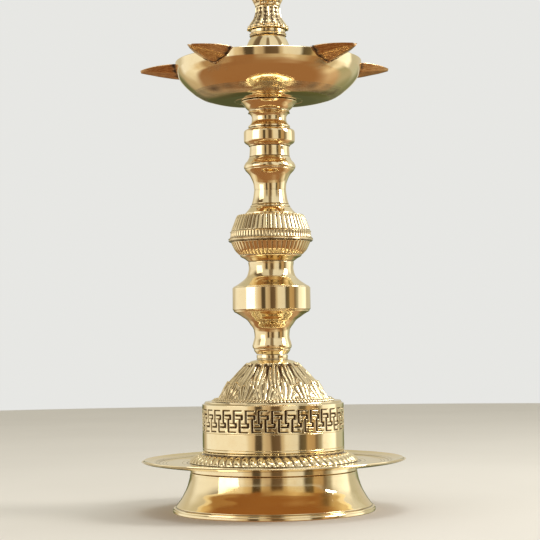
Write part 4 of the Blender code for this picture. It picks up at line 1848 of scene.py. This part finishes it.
@dataclass
class Finial:
    """The cap nut, the petal bell, the bud and the spire."""

    seat: float = 240.8
    cap_radius: float = 15.0
    cap_top: float = 281.1
    bell_top: float = 295.0
    bud_radius: float = 10.8
    bud_top: float = 326.0
    top: float = 356.0
    pin_hole: float = 2.3
    petals: int = 14
    petal_columns: int = 32
    bud_leaves: int = 10
    bud_leaf_columns: int = 36

    def cap(self) -> Outline:
        """Return the cap's outline.

        Returns:
            The outline.
        """
        r, hole = self.cap_radius, self.pin_hole
        cap = Outline(10.2, self.cap_top).line((10.2, 278.95), (10.9, 278.8)).arc(10.9, 277.7, -0.6)
        cap.line((10.0, 277.5), (10.1, 277.1)).curve((11.5, 274.6), (12.7, 271.6), (14.0, 267.4))
        cap.curve((14.8, 263.6), (r, 260.0)).line((r, 256.0), (r - 0.3, 255.7), (r, 255.4))
        cap.line((r, 246.0), (r - 0.3, 245.7), (r, 245.4), (r, self.seat + 0.4))
        cap.line((r - 0.4, self.seat), (6.3, self.seat), (6.3, 258.0), (hole, 258.0))
        return cap.line((hole, self.cap_top))

    def bell(self) -> Outline:
        """Return the bell's outline.

        Returns:
            The outline.
        """
        low = self.cap_top + 0.3
        bell = Outline(7.1, self.bell_top).curve((7.1, 293.5), (7.2, 291.6), (7.7, 289.6))
        bell.curve((8.4, 287.7), (9.5, 286.0), (11.0, 283.9), (12.0, 283.1)).arc(12.3, 281.8, -0.4)
        bell.line((11.6, low), (self.pin_hole, low), (self.pin_hole, self.bell_top))
        return bell

    def bud(self) -> Outline:
        """Return the bud's outline.

        Returns:
            The outline.
        """
        low = self.bell_top + 0.3
        bud = Outline(4.4, self.bud_top).curve((5.2, 323.0), (7.2, 318.0), (9.4, 312.6))
        bud.curve((self.bud_radius, 307.4), (10.3, 302.6), (8.9, 299.2), (7.9, 297.2), (7.3, low))
        return bud.line((self.pin_hole, low), (self.pin_hole, self.bud_top))

    def spire(self) -> Outline:
        """Return the spire's outline.

        Returns:
            The outline.
        """
        low = self.bud_top + 0.3
        spire = Outline(0.0, self.top).curve((0.8, self.top - 0.3), (1.4, self.top - 1.4))
        spire.curve((1.7, 350.0), (2.3, 341.0), (3.2, 334.0), (3.5, 332.2)).line((3.9, 332.0))
        spire.arc(5.2, 329.4, -0.35).arc(4.2, low + 0.3, -0.35).line((4.0, low), (2.3, low))
        return spire.line((2.3, 332.3), (0.0, 332.3))

    def petalling(self, theta: Grid, r: Grid, z: Grid) -> tuple[Grid, Grid]:
        """Petals hanging down the bell, with a beaded lower edge and rows of pits above.

        Args:
            theta: the bearing in radians.
            r: the radius.
            z: the height.

        Returns:
            How far the surface stands out and how dark it is.
        """
        _, away = lobes(theta, self.petals)
        outer = (r > 6.9) & (z > 281.5) & (z < self.bell_top - 0.02)
        skirt = 1 - ease(283.2, 283.8, z)
        bead = np.sqrt(np.maximum(0.0, 1 - away**2))
        height = skirt * (bead - 0.8) * 1.1
        # The gaps between the beads of the lower edge are painted darker with tarnish and painted
        # shade.
        dirt_and_shade = skirt * (1 - bead) ** 1.1
        body = ease(283.6, 284.2, z) * (1 - ease(294.0, 294.6, z))
        rows = (z - 284.0) / 2.4
        pits = np.exp(-(((away - 0.62) / 0.17) ** 2)) * (np.cos(rows * math.tau) * 0.5 + 0.5) ** 1.5
        cut = away**5
        rib = np.exp(-((away / 0.16) ** 2))
        height = height + body * (0.30 * rib - 0.55 * cut - 0.45 * pits)
        # Cuts and pits are painted darker with tarnish and painted shade; ribs are left worn bright.
        dirt_and_shade = dirt_and_shade + body * np.clip(cut + pits * 1.1 - rib * 0.4, -0.5, 1)
        return np.where(outer, height, 0.0), np.where(outer, dirt_and_shade, 0.0)

    def leafing(self, theta: Grid, r: Grid, z: Grid) -> tuple[Grid, Grid]:
        """Long leaves on the bud, parted by fine lines, with small pits beside their ribs.

        Args:
            theta: the bearing in radians.
            r: the radius.
            z: the height.

        Returns:
            How far the surface stands out and how dark it is.
        """
        _, away = lobes(theta, self.bud_leaves)
        outer = (r > 4.0) & (z > self.bell_top + 0.4) & (z < self.bud_top - 0.1)
        ends = ease(295.8, 297.4, z) * (1 - ease(322.5, 325.0, z))
        cut = away**7
        rib = np.exp(-((away / 0.14) ** 2))
        rows = (z - 297.0) / 2.1
        pits = np.exp(-(((away - 0.5) / 0.2) ** 2)) * (np.cos(rows * math.tau) * 0.5 + 0.5) ** 2
        pits = pits * (1 - ease(308.0, 316.0, z))
        height = ends * (0.28 * rib - 0.6 * cut - 0.4 * pits)
        # Cuts and pits are painted darker with tarnish and painted shade; ribs are left worn bright.
        dirt_and_shade = ends * np.clip(cut * 1.1 + pits - rib * 0.4, -0.5, 1)
        return np.where(outer, height, 0.0), np.where(outer, dirt_and_shade, 0.0)

    def build(self, finishes: Finishes) -> None:
        """Make the finial's four pieces.

        Args:
            finishes: the lamp's finishes.
        """
        Turning("finial_cap", Body.FINIAL, self.cap(), columns=160, fillet=0.2).build(finishes)
        bell = Turning("finial_bell", Body.FINIAL, self.bell(), pattern=self.petalling)
        bell.columns = self.petals * self.petal_columns
        bell.fine = ((281.4, 295.0, 6.9, 0.2),)
        bell.build(finishes)
        bud = Turning("finial_bud", Body.FINIAL, self.bud(), pattern=self.leafing)
        bud.columns = self.bud_leaves * self.bud_leaf_columns
        bud.fine = ((295.3, 326.0, 4.0, 0.3),)
        bud.build(finishes)
        spire = Turning("finial_tip", Body.FINIAL, self.spire(), columns=96, fillet=0.15)
        spire.solid = True
        spire.build(finishes)


# -------------------------------------------------------------------------------------------------
# The studio


# Tones round the lamp that its polish mirrors, as (bearing in degrees, colour), 0 being in front:
# the walls, the ground at a slope, the ground at a steep slope, and the canopy
WALLS = (
    (-180, (0.085, 0.092, 0.040)),
    (-162, (0.17, 0.18, 0.08)),
    (-148, (0.55, 0.46, 0.30)),
    (-134, (1.02, 1.00, 0.94)),
    (-48, (1.00, 0.96, 0.88)),
    (-40, (0.80, 0.68, 0.50)),
    (-34, (0.66, 0.52, 0.36)),
    (-30, (0.11, 0.08, 0.05)),
    (-22, (0.10, 0.075, 0.05)),
    (-18, (0.66, 0.54, 0.38)),
    (-9, (0.56, 0.43, 0.29)),
    (-4, (0.14, 0.09, 0.05)),
    (7, (0.17, 0.11, 0.065)),
    (12, (0.64, 0.52, 0.36)),
    (18, (0.90, 0.84, 0.72)),
    (36, (0.86, 0.82, 0.74)),
    (42, (0.13, 0.10, 0.06)),
    (50, (0.17, 0.13, 0.07)),
    (55, (0.58, 0.40, 0.20)),
    (66, (0.52, 0.35, 0.18)),
    (71, (0.24, 0.17, 0.10)),
    (79, (0.42, 0.38, 0.28)),
    (88, (1.15, 1.12, 1.04)),
    (114, (1.50, 1.48, 1.40)),
    (124, (0.62, 0.60, 0.50)),
    (142, (0.58, 0.59, 0.46)),
    (160, (0.24, 0.25, 0.13)),
    (180, (0.085, 0.092, 0.040)),
)
GROUND = (
    (-180, (0.080, 0.080, 0.034)),
    (-168, (0.38, 0.29, 0.17)),
    (-150, (0.58, 0.47, 0.31)),
    (-136, (0.88, 0.80, 0.64)),
    (-120, (1.00, 0.94, 0.80)),
    (-104, (0.82, 0.68, 0.48)),
    (-92, (0.46, 0.29, 0.155)),
    (-60, (0.48, 0.30, 0.16)),
    (-44, (0.36, 0.18, 0.08)),
    (-26, (0.34, 0.165, 0.070)),
    (-10, (0.46, 0.31, 0.18)),
    (8, (0.60, 0.46, 0.30)),
    (28, (0.86, 0.72, 0.53)),
    (42, (0.58, 0.43, 0.26)),
    (58, (0.40, 0.22, 0.10)),
    (73, (0.24, 0.16, 0.09)),
    (88, (0.72, 0.60, 0.42)),
    (103, (1.02, 0.94, 0.78)),
    (117, (0.46, 0.44, 0.30)),
    (136, (0.50, 0.46, 0.32)),
    (152, (0.30, 0.31, 0.18)),
    (166, (0.12, 0.125, 0.050)),
    (180, (0.080, 0.080, 0.034)),
)
STEEP = (
    (-180, (0.50, 0.31, 0.17)),
    (-164, (0.52, 0.33, 0.19)),
    (-148, (0.38, 0.22, 0.12)),
    (-110, (0.35, 0.18, 0.085)),
    (-50, (0.34, 0.165, 0.072)),
    (0, (0.37, 0.19, 0.085)),
    (30, (0.48, 0.30, 0.17)),
    (54, (0.36, 0.18, 0.080)),
    (78, (0.38, 0.23, 0.12)),
    (92, (0.62, 0.44, 0.27)),
    (106, (0.92, 0.75, 0.53)),
    (120, (0.70, 0.50, 0.33)),
    (142, (0.54, 0.35, 0.20)),
    (180, (0.50, 0.31, 0.17)),
)
CANOPY = (
    (-180, (0.58, 0.55, 0.42)),
    (-112, (0.66, 0.60, 0.46)),
    (-92, (0.20, 0.15, 0.10)),
    (-62, (0.17, 0.12, 0.08)),
    (-52, (0.74, 0.70, 0.60)),
    (-18, (0.78, 0.74, 0.65)),
    (-10, (0.26, 0.20, 0.14)),
    (4, (0.28, 0.22, 0.15)),
    (12, (0.92, 0.90, 0.84)),
    (60, (0.86, 0.84, 0.78)),
    (70, (0.34, 0.27, 0.19)),
    (88, (0.38, 0.32, 0.23)),
    (98, (0.92, 0.90, 0.84)),
    (140, (0.80, 0.80, 0.72)),
    (180, (0.58, 0.55, 0.42)),
)


@dataclass
class Studio:
    """The floor, the soft light round the lamp and the camera."""

    camera_place: tuple[float, float, float] = (-0.0376, -0.9352, 0.099)
    pitch: float = math.radians(2.505)
    roll: float = math.radians(-0.78)
    yaw: float = math.radians(0.04)
    lens: float = 106.67
    floor_colour: Colour = (0.66, 0.64, 0.60)
    floor_radius: float = 1.5
    floor_drop: float = 0.05
    backdrop: Colour = (0.80, 0.80, 0.775)
    below: Colour = (0.36, 0.175, 0.075)
    overhead: Colour = (0.80, 0.80, 0.76)
    far_glow: Colour = (0.66, 0.61, 0.48)

    def floor(self) -> None:
        """Lay the pale floor."""
        material, shader = new_material("pale_floor", self.floor_colour)
        place = shader.millimetres()
        cloud = shader.noise(place, 0.004, 4.0)
        fine = shader.noise(place, 0.8, 2.0)
        shade = shader.mix(cloud.between(0.3, 0.7), self.floor_colour, (0.69, 0.67, 0.63))
        surface = {
            "Base Color": shade,
            "Roughness": fine * 0.1 + 0.6,
            "Normal": shader.bump([(fine, 0.03)]),
        }
        shader.finish(surface)
        bearings = np.linspace(0, math.tau, 96, endpoint=False)[None, :]
        radii = np.linspace(self.floor_radius, 0.01, 24)[:, None] / MM
        level = np.full((len(radii), bearings.size), -self.floor_drop)
        flat = (radii * np.cos(bearings), radii * np.sin(bearings), level)
        mesh = grid_mesh("studio_floor", np.stack(flat, axis=-1)[::-1], False, True)
        mesh.materials.append(material)
        floor = bpy.data.objects.new("studio_floor", mesh)
        bpy.context.scene.collection.objects.link(floor)
        floor.visible_glossy = False

    def surroundings(self) -> None:
        """Make the soft studio that the brass mirrors, behind a plain pale background."""
        world = bpy.data.worlds.new("studio")
        world.use_nodes = True
        bpy.context.scene.world = world
        shader = Shader(world.node_tree)
        way = shader.node("ShaderNodeTexCoord", {}, {}).outputs["Generated"]
        x, y, z = shader.parted(way)
        bearing = x.turned_from(-y) / math.tau + 0.5
        walls = self._ramp(shader, bearing, WALLS)
        ground = self._ramp(shader, bearing, GROUND)
        steep = self._ramp(shader, bearing, STEEP)
        canopy = self._ramp(shader, bearing, CANOPY)
        slope = shader.mix((-z).between(0.46, 0.58), ground, steep)
        under = shader.mix((-z).between(0.66, 0.82), slope, self.below)
        sides = shader.mix((-z).between(0.18, 0.32), walls, under)
        glow = z.between(-0.01, 0.04) * y.between(0.55, 0.85)
        rear = shader.mix(glow, sides, self.far_glow)
        upper = shader.mix(z.between(0.25, 0.50), rear, canopy)
        whole = shader.mix(z.between(0.86, 0.96), upper, self.overhead)
        seen = shader.value("ShaderNodeLightPath", {}, {}, "Is Camera Ray")
        colour = shader.mix(seen, whole, self.backdrop)
        light = shader.node("ShaderNodeBackground", {}, {"Color": colour, "Strength": 1.0})
        shader.node("ShaderNodeOutputWorld", {}, {"Surface": light.outputs[0]})

    @staticmethod
    def _ramp(shader: Shader, bearing: Value, tones: Sequence) -> bpy.types.NodeSocket:
        """Return the tones round the lamp as one colour.

        Args:
            shader: the world's shader.
            bearing: from 0 to 1 once round, with 0.5 in front.
            tones: (bearing in degrees, colour), in order.

        Returns:
            The colour's socket.
        """
        stops = [(degrees / 360 + 0.5, colour) for degrees, colour in tones]
        settings = {"interpolation": "EASE", "stops": stops}
        return shader.node("ShaderNodeValToRGB", settings, {"Fac": bearing}).outputs["Color"]

    def lights(self) -> None:
        """Hang the soft lamps: a key at the right, a fill at the left and one overhead."""
        middle = Vector((0.0, 0.0, 0.14))
        hung = (
            ("key_light", (0.85, -0.15, 0.62), 0.30, 0.46, 6.0, (1.0, 0.97, 0.92)),
            ("fill_light", (-0.95, -0.42, 0.40), 0.60, 0.70, 2.0, (1.0, 0.96, 0.88)),
            ("top_light", (0.05, 0.05, 1.10), 0.50, 0.50, 3.0, (1.0, 0.99, 0.97)),
        )
        for name, place, width, height, watts, colour in hung:
            light = bpy.data.lights.new(name, "AREA")
            light.shape = "RECTANGLE"
            light.size, light.size_y = width, height
            light.energy = watts
            light.color = colour
            holder = bpy.data.objects.new(name, light)
            holder.location = place
            holder.rotation_mode = "QUATERNION"
            holder.rotation_quaternion = (middle - holder.location).to_track_quat("-Z", "Y")
            bpy.context.scene.collection.objects.link(holder)

    def camera(self) -> None:
        """Place the camera."""
        data = bpy.data.cameras.new("camera")
        data.sensor_width = 36.0
        data.lens = self.lens
        data.clip_start, data.clip_end = 0.01, 50.0
        camera = bpy.data.objects.new("camera", data)
        x, y, _ = self.camera_place
        towards = math.atan2(x, -y)
        turned = Matrix.Rotation(towards + self.yaw, 4, "Z")
        raised = Matrix.Rotation(math.pi / 2 + self.pitch, 4, "X")
        rolled = Matrix.Rotation(self.roll, 4, "Z")
        camera.matrix_world = Matrix.Translation(self.camera_place) @ turned @ raised @ rolled
        bpy.context.scene.collection.objects.link(camera)
        bpy.context.scene.camera = camera

    def build(self) -> None:
        """Set the studio up."""
        self.floor()
        self.surroundings()
        self.lights()
        self.camera()
        bpy.context.scene.view_settings.view_transform = "Standard"


def main() -> None:
    """Build the lamp from the foot up, then the studio."""
    logging.basicConfig(level=logging.INFO, format="%(message)s")
    finishes = Finishes()
    tie = ThreadedRod("tie_rod", Body.BASE, 4.0, 9.0, 106.5, 1.5)
    tie.threads = ((9.2, 20.5), (93.2, 106.2))
    tie.shoulder = (6.5, 90.7, 92.7)
    stud = ThreadedRod("stem_stud", Body.STEM, 3.5, 108.0, 256.0, 1.25)
    stud.threads = ((108.2, 113.0), (230.0, 255.8))
    base = (Foot(), FluteRing(), Drum(), BeadRing(), Dome(), tie)
    stem = (LowerStem(), Knop(), UpperStem(), stud)
    for assembly in (*base, *stem, Dish(), Finial()):
        assembly.build(finishes)
        LOG.info("%s is built", type(assembly).__name__)
    inner = ("clamp_washer", "clamp_nut", "stem_bush", "stem_nut", "finial_bush", "finial_pin")
    for node in inner:
        finishes.dress_node(node, Slot.INNER)
    Studio().build()


if __name__ == "__main__":
    main()
